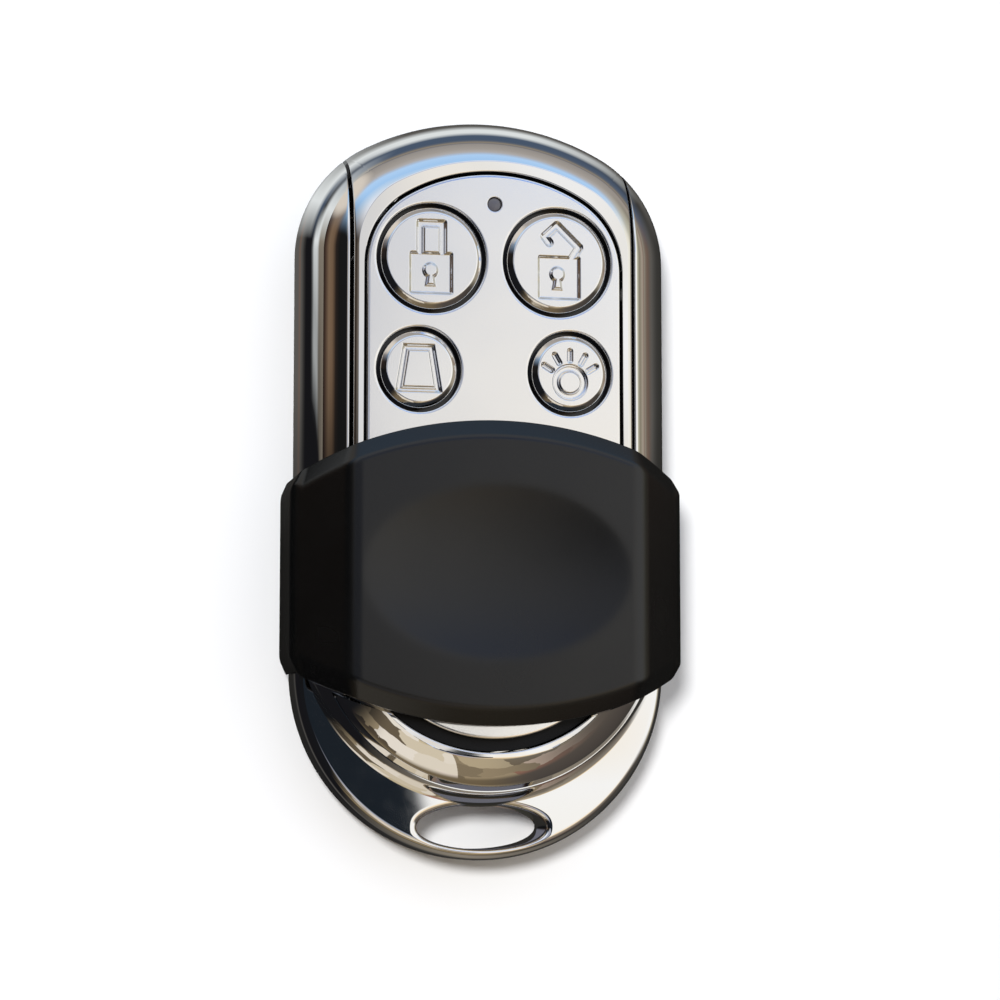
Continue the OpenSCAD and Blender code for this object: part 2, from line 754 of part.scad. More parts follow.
module radio_chip() {
    chip_y = (large_y + small_y) / 2;
    color([0.2, 0.2, 0.22]) translate([0, chip_y, board_top]) {
        translate([-chip_l / 2, -chip_w / 2, lead_t / 2]) cube([chip_l, chip_w, chip_h]);
        for (n = [-1.5 : 1.5]) translate([n * lead_pitch - lead_w / 2, -chip_w / 2 - lead_l, 0])
            cube([lead_w, chip_w + 2 * lead_l, lead_t]);
    }
}

module resonator_can() {
    color("gainsboro") translate([0, small_y - can_drop, board_top]) {
        cylinder(d = can_d + 2 * can_brim, h = brim_t);
        cylinder(d = can_d, h = can_h);
    }
}

module chip_passives() {
    color("tan") for (column = [-3 : 3]) for (row = [0, 1])
        translate([column * passive_pitch - passive_l / 2, small_y - passive_drop - row * passive_pitch, board_top])
            cube([passive_l, passive_w, passive_h]);
}

// Flat copper loop at the key-ring end of the board
module loop_antenna() {
    color("chocolate") translate([0, board_low_y + loop_land + loop_l / 2, board_top])
        linear_extrude(loop_t) difference() {
            square([loop_w, loop_l], center = true);
            square([loop_w - 2 * loop_strip, loop_l - 2 * loop_strip], center = true);
            translate([0, loop_l / 2]) square([loop_feed, 3 * loop_strip], center = true);
        }
}

module case_screws() {
    head_t = floor_t - 0.2;
    color("slategray") for (p = case_screw_places) translate([p[0], p[1], floor_t - head_t]) {
        cylinder(d = case_head_d, h = head_t);
        cylinder(d = case_screw_d, h = case_screw_top - floor_t + head_t);
    }
}

module board_screws() {
    color("slategray") for (x = [-board_screw_x, board_screw_x]) for (y = board_screw_y)
        translate([x, y, board_z - board_screw_l]) {
            cylinder(d = board_screw_d, h = board_screw_l + board_t + board_head_t);
            translate([0, 0, board_screw_l + board_t])
                cylinder(d = board_screw_d + 2 * head_rim, h = board_head_t);
        }
}

chassis();
front_bezel();
rear_cover();
face_plate();
plate_gasket();
slide_cover();
lock_button();
unlock_button();
bell_button();
light_button();
lock_plunger();
unlock_plunger();
bell_plunger();
light_plunger();
switch_housings();
circuit_board();
status_led();
light_pipe();
coin_cell();
battery_clip();
battery_spring();
radio_chip();
resonator_can();
chip_passives();
loop_antenna();
case_screws();
board_screws();
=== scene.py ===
import math

import bmesh
import bpy
import numpy as np
from mathutils import Matrix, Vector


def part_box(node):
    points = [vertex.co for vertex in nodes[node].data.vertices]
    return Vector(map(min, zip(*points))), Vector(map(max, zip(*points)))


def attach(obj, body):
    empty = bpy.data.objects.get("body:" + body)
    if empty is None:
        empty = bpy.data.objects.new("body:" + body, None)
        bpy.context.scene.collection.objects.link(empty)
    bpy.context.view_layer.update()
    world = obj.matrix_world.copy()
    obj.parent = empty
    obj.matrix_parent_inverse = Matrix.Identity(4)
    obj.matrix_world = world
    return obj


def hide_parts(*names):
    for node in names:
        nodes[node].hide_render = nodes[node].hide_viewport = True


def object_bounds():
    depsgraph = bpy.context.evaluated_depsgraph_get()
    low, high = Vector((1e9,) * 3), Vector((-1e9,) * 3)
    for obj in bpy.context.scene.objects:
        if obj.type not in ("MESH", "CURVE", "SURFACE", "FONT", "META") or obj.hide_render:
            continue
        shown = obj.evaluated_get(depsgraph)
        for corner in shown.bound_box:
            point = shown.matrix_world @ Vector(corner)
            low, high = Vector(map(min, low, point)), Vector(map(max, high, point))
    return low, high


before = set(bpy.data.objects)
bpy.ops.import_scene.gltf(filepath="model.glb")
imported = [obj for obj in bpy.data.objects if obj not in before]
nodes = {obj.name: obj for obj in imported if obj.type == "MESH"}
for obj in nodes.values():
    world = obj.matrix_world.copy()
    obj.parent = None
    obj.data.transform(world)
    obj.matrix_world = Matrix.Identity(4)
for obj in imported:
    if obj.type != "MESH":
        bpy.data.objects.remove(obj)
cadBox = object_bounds()
scene = bpy.context.scene
mm = 0.001
quarterTurn = math.pi / 2
flip = np.array([-1, 1, 1])
print("solids loaded")


def boxMm(node):
    low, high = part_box(node)
    return np.array(low) / mm, np.array(high) / mm


# Colours are written as sRGB hex and handed on as linear light
def colour(text):
    parts = np.array([int(text[i:i + 2], 16) for i in (1, 3, 5)]) / 255
    linear = np.where(parts <= 0.04045, parts / 12.92, ((parts + 0.055) / 1.055) ** 2.4)
    return (*linear.tolist(), 1.0)


# One node with its settings; a value is set on a socket, a pair of node and socket is linked to it, stops fill a ramp
def addNode(tree, kind, inputs=None, stops=(), **settings):
    node = tree.nodes.new("ShaderNode" + kind)
    for key, value in settings.items():
        setattr(node, key, value)
    for key, value in (inputs or {}).items():
        if isinstance(value, tuple) and isinstance(value[0], bpy.types.Node):
            tree.links.new(value[0].outputs[value[1]], node.inputs[key])
        else:
            node.inputs[key].default_value = value
    for _ in stops[2:]:
        node.color_ramp.elements.new(0.5)
    for k, (place, tone) in enumerate(stops):
        node.color_ramp.elements[k].position = place
        node.color_ramp.elements[k].color = colour(tone)
    return node


def addObject(name, data):
    made = bpy.data.objects.new(name, data)
    scene.collection.objects.link(made)
    return made


def between(a, b, t):
    return a + (b - a) * t


# Even fractions up to 1, without the 0
def fractions(count):
    return np.linspace(0, 1, count)[1:]


# Plan points with their heights
def raised(plan, z):
    return np.concatenate([plan, np.broadcast_to(z, plan.shape[:-1])[..., None]], -1)


# Sections (inset, height) carried along a path of points and outward normals
def swept(b, n, e, z):
    return raised(b[:, None] - n[:, None] * e[..., None], z)


# Points and outward normals along an arc, angles in degrees
def arcPath(cx, cy, radius, a0, a1, count):
    a = np.radians(np.linspace(a0, a1, count))
    normal = np.stack([np.cos(a), np.sin(a)], 1)
    return np.array([cx, cy]) + radius * normal, normal


# Points and outward normals along a straight side at x
def sidePath(x, y0, y1, count):
    return np.stack([np.full(count, x), np.linspace(y0, y1, count)], 1), np.tile([1.0, 0.0], (count, 1))


# Runs joined end to end, without the points that they share
def chained(runs):
    return np.concatenate([runs[0], *[run[1:] for run in runs[1:]]])


# Soft corner: a parabola from a to b whose tangents meet at c, q of the way along
def softCorner(a, c, b, q):
    return (1 - q) ** 2 * a + 2 * q * (1 - q) * c + q ** 2 * b


# Polyline with soft corners; radii name the corner radius at each inner point
def roundedLine(points, radii, count):
    points = np.array(points, float)
    q = np.linspace(0, 1, count)[:, None]
    out = [points[:1]]
    for before, corner, after, radius in zip(points, points[1:], points[2:], radii):
        u, v = before - corner, after - corner
        u, v = u / np.linalg.norm(u), v / np.linalg.norm(v)
        cut = radius / math.tan(math.acos(np.clip(np.dot(u, v), -1, 1)) / 2)
        out.append(softCorner(corner + u * cut, corner, corner + v * cut, q))
    return np.concatenate([*out, points[-1:]])


# A round wall as a ring of rows (radius, height) about a centre
def roundWall(centre, rows, count=64):
    a = np.linspace(0, 2 * math.pi, count + 1)[:-1]
    reach, z = np.array(rows, float).T[..., None]
    return np.stack([centre[0] + reach * np.cos(a), centre[1] + reach * np.sin(a), z + 0 * a], -1)


# Four-sided faces of a grid of points, which may close on itself along its rows or its columns
def gridFaces(grid, closeRows, closeCols):
    rows, cols = grid.shape[:2]
    r, c = np.meshgrid(np.arange(rows - 1 + closeRows), np.arange(cols - 1 + closeCols), indexing="ij")
    r2, c2 = (r + 1) % rows, (c + 1) % cols
    return np.stack([r * cols + c, r2 * cols + c, r2 * cols + c2, r * cols + c2], -1).reshape(-1, 4)


weld = {"near": 4e-7, "thin": 1e-8, "level": 2e-7}      # in metres


# Makes a mesh from grids of points in mm; planes are heights whose open edges are filled flat
def makePiece(name, grids, planes=(), angle=38):
    places, quads, start = [], [], 0
    for grid, closeRows, closeCols in grids:
        quads.append(start + gridFaces(grid, closeRows, closeCols))
        places.append(grid.reshape(-1, 3) * mm)
        start += len(places[-1])
    mesh = bpy.data.meshes.new(name)
    mesh.from_pydata(np.concatenate(places).tolist(), [], np.concatenate(quads).tolist())
    work = bmesh.new()
    work.from_mesh(mesh)
    bmesh.ops.remove_doubles(work, verts=work.verts, dist=weld["near"])
    bmesh.ops.dissolve_degenerate(work, dist=weld["thin"], edges=work.edges)
    held = []
    for height in planes:
        rim = [e for e in work.edges
               if e.is_boundary and all(abs(v.co.z - height * mm) < weld["level"] for v in e.verts)]
        bmesh.ops.triangle_fill(work, use_beauty=True, edges=rim)
        held += rim
    bmesh.ops.recalc_face_normals(work, faces=work.faces)
    work.edges.index_update()
    held = [e.index for e in held if e.is_valid]
    work.to_mesh(mesh)
    work.free()
    mesh.polygons.foreach_set("use_smooth", np.ones(len(mesh.polygons), bool))
    mesh.set_sharp_from_angle(angle=math.radians(angle))
    if held:
        sharp = np.zeros(len(mesh.edges), bool)
        mesh.edges.foreach_get("use_edge_sharp", sharp)
        sharp[held] = True
        mesh.edges.foreach_set("use_edge_sharp", sharp)
    return addObject(name, mesh)


def pointsMm(piece):
    place = np.zeros(len(piece.data.vertices) * 3)
    piece.data.vertices.foreach_get("co", place)
    return place.reshape(-1, 3) / mm


# One value per point, under a name that the materials read
def tagPoints(piece, name, values):
    piece.data.attributes.new(name, "FLOAT", "POINT").data.foreach_set("value", values)


# Sides below a height get painted shade: tagged to render dark and not metallic, standing in for the shade in the gaps
# round the part
def shadeBelow(piece, height, fade):
    tagPoints(piece, "bareSide", np.clip((height - pointsMm(piece)[:, 2]) / fade, 0, 1))


# Right half of a lengthwise loft and its mirror image, joined to a closed ring
def mirrored(grid):
    return np.concatenate([grid, grid[::-1][1:-1] * flip])


# Body outline and its side profile, as in the solids
body = {"halfW": boxMm("chassis")[1][0], "topY": boxMm("front_bezel")[1][1], "rimZ": boxMm("front_bezel")[1][2],
        "shoulderR": 11.3, "waistZ": 5.2, "upperR": 7.59, "lowerR": 6.01, "partingZ": 2.75, "tongueL": 4.7}
halfW, topY, rimZ, waistZ = (round(float(body[k]), 3) for k in ("halfW", "topY", "rimZ", "waistZ"))
shoulderR, upperR, lowerR, partingZ = (body[k] for k in ("shoulderR", "upperR", "lowerR", "partingZ"))
# the arcs of the lamp end and the shoulder meet on a triangle of 8, 15 and 17
shoulderX = halfW - shoulderR
topR = shoulderR + shoulderX * 17 / 8
topCy = topY - topR
shoulderY = topCy + shoulderX * 15 / 8
shoulderDeg = math.degrees(math.atan2(15, 8))
tailCy = -topY + halfW
endCy = tailCy + body["tongueL"]


# How far the side lies inside the widest line at height z: a circle above the waist and one below it
def insetAt(z):
    dz = np.asarray(z, float) - waistZ
    radius = np.where(dz > 0, upperR, lowerR)
    return radius - np.sqrt(radius ** 2 - dz ** 2)


# Lean of the upper circle at an inset, and the inset and height at a lean
def leanAt(e):
    return np.arcsin(np.clip(1 - e / upperR, -1, 1))


def sideAt(lean):
    return upperR * (1 - np.sin(lean)), waistZ + upperR * np.cos(lean)


rimInset = float(insetAt(rimZ))
rimReach = halfW - rimInset
steps = {"faceArc": 48, "faceSide": 30, "shoulder": 84, "side": 26, "end": 70}
rounds = {"seam": 40, "mouth": 8}      # rounds until a reach has settled


# Face outline: straight sides, one wide arc at each end and round corners; grow moves it outward
def faceLine(face, grow=0.0):
    half, top, low = face["half"], face["top"], face["low"]
    topBig, topSmall, lowBig, lowSmall = (face[k] for k in ("topBig", "topSmall", "lowBig", "lowSmall"))
    tx, lx = half - topSmall, half - lowSmall
    ty, ly = top - topBig, low + lowBig
    th, lh = math.sqrt((topBig - topSmall) ** 2 - tx ** 2), math.sqrt((lowBig - lowSmall) ** 2 - lx ** 2)
    ta, la = math.degrees(math.atan2(th, tx)), math.degrees(math.atan2(lh, lx))
    arcs = [(0, ty, topBig, 90, ta), (tx, ty + th, topSmall, ta, 0),
            (lx, ly - lh, lowSmall, 0, -la), (0, ly, lowBig, -la, -90)]
    arcs = [arcPath(x, y, r + grow, a0, a1, steps["faceArc"])[0] for x, y, r, a0, a1 in arcs]
    return [*arcs[:2], sidePath(half + grow, ty + th, ly - lh, steps["faceSide"])[0], *arcs[2:]]


def ringLine(face, grow):
    half = chained(faceLine(face, grow))
    return np.concatenate([half, half[::-1][1:-1] * flip[:2]])


opening = {"half": 11.55, "top": 27.35, "low": -23.63, "topBig": 15.3, "topSmall": 7.55, "lowBig": 13.4,
           "lowSmall": 7.5}
stop = {"cy": 12.62, "bezelR": 34.15, "chassisR": 33.95}     # arc where the sliding cover meets the collar
stopLever = stop["cy"] - endCy


# Angle below the side at which a circle of radius rho about the lower centre meets the stop arc
def stopAngle(rho, radius):
    return np.arcsin(np.clip((radius ** 2 - stopLever ** 2 - rho ** 2) / (2 * stopLever * rho), -1, 1))


# Angles of stations fanned from the stop arc to the foot
def fanTurn(rho, radius, t):
    return between(stopAngle(rho, radius), quarterTurn, t[:, None])


def polar(rho, angle, z):
    return np.stack(np.broadcast_arrays(rho * np.cos(angle), endCy - rho * np.sin(angle), z), -1)


# Corner where the seam plane x meets the shell, t of the way to the stop arc
def seamReach(x, t, radius):
    rho = np.full(t.shape, x)
    for _ in range(rounds["seam"]):
        rho = x / np.cos(t * stopAngle(rho, radius))
    return rho


# Front bezel: rim, side rails, lamp end and the collar at the key-ring end, one section carried round the outline
bezel = {"seamX": 12.45, "edge": 0.3, "railZ": 9.6, "blockY": 26.2, "flatR": 12.75, "ridgeR": 14.95, "ridgeZ": 10.6,
         "footR": 15.34, "footCut": 0.1, "ridgeRound": 0.25, "ridgeStart": 0.35, "rollR": 11.0, "rollSlope": 0.1,
         "rollEase": 0.1, "land": (0.8, 0.5), "lip": 0.12, "lipDrops": (0.22, 0.12, 0.035),
         "arcSteps": 34, "cornerSteps": 6, "wallSteps": 14, "railStations": 40, "collarStations": 72}


# Sections (inset, height) from the rim down the side to the seam wall, one row per station
def railSection(eMin, zBottom, eStart):
    eMin, zBottom = eMin[:, None], zBottom[:, None]
    leanStart, lean = leanAt(eStart)[:, None], leanAt(eMin)
    cut = bezel["edge"] * np.tan((quarterTurn - lean) / 2)
    cornerZ = sideAt(lean)[1]
    leanEnd = leanAt(eMin + np.cos(lean) * cut)
    t = np.concatenate([[0, 0.006], np.linspace(0.02, 1, bezel["arcSteps"] - 2)])
    arcE, arcZ = sideAt(between(leanStart, leanEnd, t))
    q = fractions(bezel["cornerSteps"])
    softE = softCorner(arcE[:, -1:], eMin, eMin, q)
    softZ = softCorner(arcZ[:, -1:], cornerZ, cornerZ - cut, q)
    wallZ = between(cornerZ - cut, zBottom + bezel["footCut"], fractions(bezel["wallSteps"]))
    wallE = np.maximum(eMin, insetAt(wallZ))
    e = np.concatenate([arcE, softE, wallE, wallE[:, -1:] + bezel["footCut"]], 1)
    z = np.concatenate([arcZ, softZ, wallZ, zBottom], 1)
    return e, z


# Inner wall of the opening, soft edge and rim flat between the opening point and the outer edge of the rim
def rimRows(inner, outer, zBottom):
    span = np.linalg.norm(outer - inner, axis=1)
    unit = (outer - inner) / span[:, None]
    soft, far = np.minimum(bezel["lip"], 0.3 * span), np.minimum(0.05, 0.1 * span)
    deep, mid, slight = (rimZ - drop for drop in bezel["lipDrops"])
    rows = [(0, zBottom), (0, 0.5 * (zBottom + rimZ)), (0, deep), (0, mid), (0.3 * soft, slight),
            (soft, rimZ), (1.5 * soft, rimZ), (0.6 * span, rimZ), (span - far, rimZ)]
    return np.stack([raised(inner + unit * np.broadcast_to(along, span.shape)[:, None], z) for along, z in rows], 1)


openParts = faceLine(opening)
pathB, pathN = map(chained, zip(arcPath(0, topCy, topR, 90, shoulderDeg, steps["faceArc"]),
                                arcPath(shoulderX, shoulderY, shoulderR, shoulderDeg, 0, steps["shoulder"]),
                                sidePath(halfW, shoulderY, endCy, steps["side"])))
cornerX, cornerY = opening["half"] - opening["topSmall"], openParts[1][-1][1]
cornerDeg = math.degrees(math.atan2(openParts[1][0][1] - cornerY, openParts[1][0][0] - cornerX))
pathO = chained([openParts[0], arcPath(cornerX, cornerY, opening["topSmall"], cornerDeg, 0, steps["shoulder"])[0],
                 sidePath(opening["half"], cornerY, endCy, steps["side"])[0]])
# lower part of the opening outline by its angle below the side, seen from the lower centre
lowLine = np.concatenate(openParts[2:])
lowAngle = np.arctan2(endCy - lowLine[:, 1], lowLine[:, 0])
lowReach = np.hypot(lowLine[:, 0], lowLine[:, 1] - endCy)


# Wall of the opening, soft lip and the first strip of the top: twelve rows outward from the opening outline; the top
# stays level over the land beside the opening
def mouthRows(turnAt, topAt, far, land):
    mouth = np.full(far.shape, rimReach)
    for _ in range(rounds["mouth"]):
        mouth = np.interp(turnAt(mouth[:, None])[:, 0], lowAngle, lowReach)
    lip = mouth[:, None] + bezel["lip"] * np.array([0, 0, 0, 0, 0.3, 1])
    far = np.maximum(far, mouth + 1.5 * bezel["lip"])
    strip = between(lip[:, -1:], far[:, None], np.array([0.1, 0.28, 0.46, 0.64, 0.8, 0.93]))
    reach = np.concatenate([lip, strip], 1)
    z = topAt(np.maximum(reach, mouth[:, None] + land))
    edge = z[:, 5:6]
    z[:, :5] = np.concatenate([0 * edge + bezel["railZ"], 0.5 * (bezel["railZ"] + edge),
                               *[edge - drop for drop in bezel["lipDrops"]]], 1)
    return polar(reach, turnAt(reach), z), far


shadeWall = {"near": 0.02, "square": 0.85, "inward": -0.6, "middle": (0, 2)}


# Marks the seam walls, the flat planes at x either side, and walls that face the middle with painted shade, so that the
# seam gaps render dark
def shadeSeam(piece, x, inside):
    place, facing = pointsMm(piece), np.zeros(len(piece.data.vertices) * 3)
    piece.data.vertex_normals.foreach_get("vector", facing)
    facing = facing.reshape(-1, 3)
    onSeam = np.abs(np.abs(place[:, 0]) - x) < shadeWall["near"]
    shadeMask = onSeam & (np.abs(facing[:, 0]) > shadeWall["square"])
    if inside:
        arm = place[:, :2] - shadeWall["middle"]
        shadeMask |= (facing[:, :2] * arm).sum(1) < shadeWall["inward"] * np.hypot(*arm.T)
    tagPoints(piece, "bareSide", shadeMask.astype(float))


def bezelPiece():
    seamX, radius = bezel["seamX"], stop["bezelR"]
    eMin = np.where(pathB[:, 0] > seamX, (pathB[:, 0] - seamX) / np.maximum(pathN[:, 0], 1e-6), 0)
    wallY = pathB[:, 1] - pathN[:, 1] * eMin
    zBottom = np.where(wallY > bezel["blockY"], partingZ, bezel["railZ"])
    outer = swept(pathB, pathN, *railSection(eMin, zBottom, np.full(zBottom.shape, rimInset)))
    rim = rimRows(pathO, outer[:, 0, :2], zBottom)
    upper = np.concatenate([rim, np.repeat(outer[:, :1], 3, 1), outer], 1)

    # rails from the straight sides down to the horns of the collar, stations leaning towards the stop arc
    t = fractions(bezel["railStations"])
    rim, far = mouthRows(lambda reach: t[:, None] * stopAngle(np.maximum(reach, rimReach), radius),
                         lambda reach: sideAt(leanAt(np.minimum(halfW - reach, rimInset)))[1],
                         np.full(t.shape, rimReach), 0)
    e, z = railSection(halfW - seamReach(seamX, t, radius), np.full(t.shape, bezel["railZ"]), halfW - far)
    rho = halfW - e
    rails = np.concatenate([rim, polar(rho, t[:, None] * stopAngle(rho, radius), z)], 1)

    # collar: height falls with the distance from the lower centre, gently at first, to a soft ridge, then the wall
    # goes down to the foot
    ease, way = bezel["rollEase"], bezel["ridgeR"] - bezel["rollR"]

    def gentle(past):
        return bezel["rollSlope"] * (np.sqrt(past ** 2 + ease ** 2) - ease)

    bend = (rimZ - bezel["ridgeZ"] - gentle(way)) / way ** 2

    def rollZ(rho):
        past = np.maximum(rho - bezel["rollR"], 0)
        return rimZ - gentle(past) - bend * past ** 2

    early = bezel["ridgeR"] - bezel["ridgeStart"]
    line = roundedLine([[early, rollZ(early)], [bezel["ridgeR"], bezel["ridgeZ"]], [bezel["footR"], bezel["railZ"]]],
                       [bezel["ridgeRound"]], bezel["cornerSteps"])
    rho = between(bezel["flatR"], line[1][0], np.linspace(0, 1, bezel["arcSteps"]))
    slope = np.stack([rho, rollZ(rho)], 1)
    slope[-1] = line[1]
    wall = between(line[-2], line[-1], fractions(bezel["wallSteps"])[:, None])
    section = np.concatenate([slope, line[2:-1], wall, wall[-1:] - [bezel["footCut"], 0]])
    t = np.linspace(0, 1, bezel["collarStations"])
    rim, _ = mouthRows(lambda reach: fanTurn(np.maximum(reach, rimReach), radius, t), rollZ,
                       np.full(t.shape, bezel["flatR"]), between(*bezel["land"], t[:, None]))
    collar = np.concatenate([rim, polar(section[:, 0], fanTurn(section[:, 0], radius, t), section[:, 1])], 1)
    return makePiece("front_bezel_chromed", [(mirrored(np.concatenate([upper, rails, collar])), True, True)])


bezelPart = bezelPiece()
# painted shade on the bezel's seam walls and on its walls that face the middle
shadeSeam(bezelPart, bezel["seamX"], True)
print("bezel made")

# Chassis: cheeks beside the rails, lower wall under the collar, cover grooves and the tongue with the key-ring eye
chassis = {"seamX": 12.72, "edge": 0.6, "topZ": 9.4, "grooveX": 15.33, "grooveZ": 4.05, "grooveLow": -15.08,
           "grooveTop": 18.82, "grooveShare": 0.428, "innerReach": 12.4, "footCut": 0.08,
           "endReach": 0.3, "lowSteps": 8, "sideSteps": 22, "arcSteps": 18, "cornerSteps": 6, "flatSteps": 23,
           "tipStations": 70, "hornStations": 12, "endStations": 60}


# Closed sections (inset, height): bottom, groove or plain side, side up to the collar height, cheek top, inner wall
def cheekSection(eMax, grooveE):
    eMax = eMax[:, None]
    low = waistZ - np.sqrt(np.maximum(lowerR ** 2 - (lowerR - np.minimum(eMax, lowerR)) ** 2, 0))
    low = np.maximum(partingZ, low)
    lean = leanAt(eMax)
    cornerZ = sideAt(lean)[1]
    grooveZ, topZ = np.maximum(chassis["grooveZ"], low), np.minimum(chassis["topZ"], cornerZ)
    q = np.linspace(0, 1, chassis["lowSteps"])
    plainZ = between(low, grooveZ, q)
    plainE = insetAt(plainZ)
    plainE[:, 0] += chassis["footCut"] * (eMax[:, 0] > 0.7)
    if grooveE is not None:
        # the groove's floor takes the first rows, its upper side the others
        g, share = grooveE[:, None], chassis["grooveShare"]
        plainZ = np.where(q < 0.55, between(low, grooveZ, np.minimum(q / share, 1)), grooveZ)
        plainE = np.where(q < 0.55, g, between(g, insetAt(grooveZ), np.clip((q - share) / (1 - share), 0, 1)))
    sideZ = between(grooveZ, topZ, fractions(chassis["sideSteps"]))
    cut = chassis["edge"] * np.tan((quarterTurn - lean) / 2)
    leanTop = leanAt(insetAt(topZ))
    leanEnd = np.minimum(leanAt(eMax - np.cos(lean) * cut), leanTop)
    arcE, arcZ = sideAt(between(leanTop, leanEnd, fractions(chassis["arcSteps"])))
    q = fractions(chassis["cornerSteps"])
    softE = softCorner(arcE[:, -1:], eMax, eMax, q)
    softZ = softCorner(arcZ[:, -1:], cornerZ, cornerZ - np.minimum(cut, cornerZ - low), q)
    wallZ = between(softZ[:, -1:], low, fractions(chassis["lowSteps"]))
    e = np.concatenate([plainE, insetAt(sideZ), arcE, softE, eMax + 0 * wallZ], 1)
    z = np.concatenate([plainZ, sideZ, arcZ, softZ, wallZ], 1)
    return e, z


def chassisGrid():
    seamX, grooveX, radius = chassis["seamX"], chassis["grooveX"], stop["chassisR"]
    grids = []

    def straight(b, n, grooved):
        eMax = np.maximum((b[:, 0] - seamX) / n[:, 0], 1e-4)
        grids.append(swept(b, n, *cheekSection(eMax, np.full(len(b), halfW - grooveX) if grooved else None)))

    def lower(t, grooved):
        deg = t * stopAngle(halfW, radius)
        e, z = cheekSection(halfW - seamReach(seamX, t, radius), halfW - grooveX / np.cos(deg) if grooved else None)
        grids.append(polar(halfW - e, t[:, None] * stopAngle(halfW - e, radius), z))

    # shoulder, with stations that crowd towards the thin tip
    turn = math.acos((seamX - shoulderX) / shoulderR) * (1 - np.linspace(0, 1, chassis["tipStations"]) ** 2)
    n = np.stack([np.cos(turn), np.sin(turn)], 1)
    b = np.array([shoulderX, shoulderY]) + shoulderR * n
    straight(b, n, False)
    grids[0][0] = [*b[0], waistZ]
    straight(*sidePath(halfW, shoulderY, chassis["grooveTop"], 4), False)
    straight(*sidePath(halfW, chassis["grooveTop"], endCy, steps["side"]), True)
    reach, count = halfW - chassis["endReach"], chassis["hornStations"]
    edge = np.arcsin((endCy - chassis["grooveLow"]) / reach) / stopAngle(reach, radius)
    lower(np.linspace(0, edge, count), True)
    lower(np.linspace(edge, 1, count), False)
    # lower wall under the collar: same outer side up to the collar's foot, then flat to the inside
    plainZ = between(partingZ, chassis["grooveZ"], np.linspace(0, 1, chassis["lowSteps"]))
    sideZ = between(chassis["grooveZ"], chassis["topZ"], fractions(chassis["sideSteps"]))
    outerE = insetAt(np.concatenate([plainZ, sideZ]))
    inner = halfW - chassis["innerReach"]
    flatE = between(outerE[-1], inner, fractions(chassis["flatSteps"]))
    wallZ = between(chassis["topZ"], partingZ, fractions(chassis["lowSteps"]))
    rho = halfW - np.concatenate([outerE, flatE, inner + 0 * wallZ])
    z = np.concatenate([plainZ, sideZ, chassis["topZ"] + 0 * flatE, wallZ])
    grids.append(polar(rho, fanTurn(rho, radius, np.linspace(0, 1, chassis["endStations"])), z))
    half = np.concatenate(grids)
    return np.concatenate([half, half[::-1][1:] * flip])


tongue = {"backZ": 1.3, "topZ": 6.8, "edge": 1.6, "edgeW": 0.9, "lip": 0.5, "eyeY": -30.05, "eyeL": 11.6, "eyeW": 3.9,
          "lift": 0.02, "step": 0.05, "rays": 720,
          "nearSteps": (0, 0.012, 0.045, 0.1, 0.17, 0.25, 0.34, 0.44, 0.54, 0.66),
          "farSteps": (1.1, 1, 0.86, 0.72, 0.58, 0.45, 0.33, 0.23, 0.14, 0.075, 0.03, 0.008, 0)}


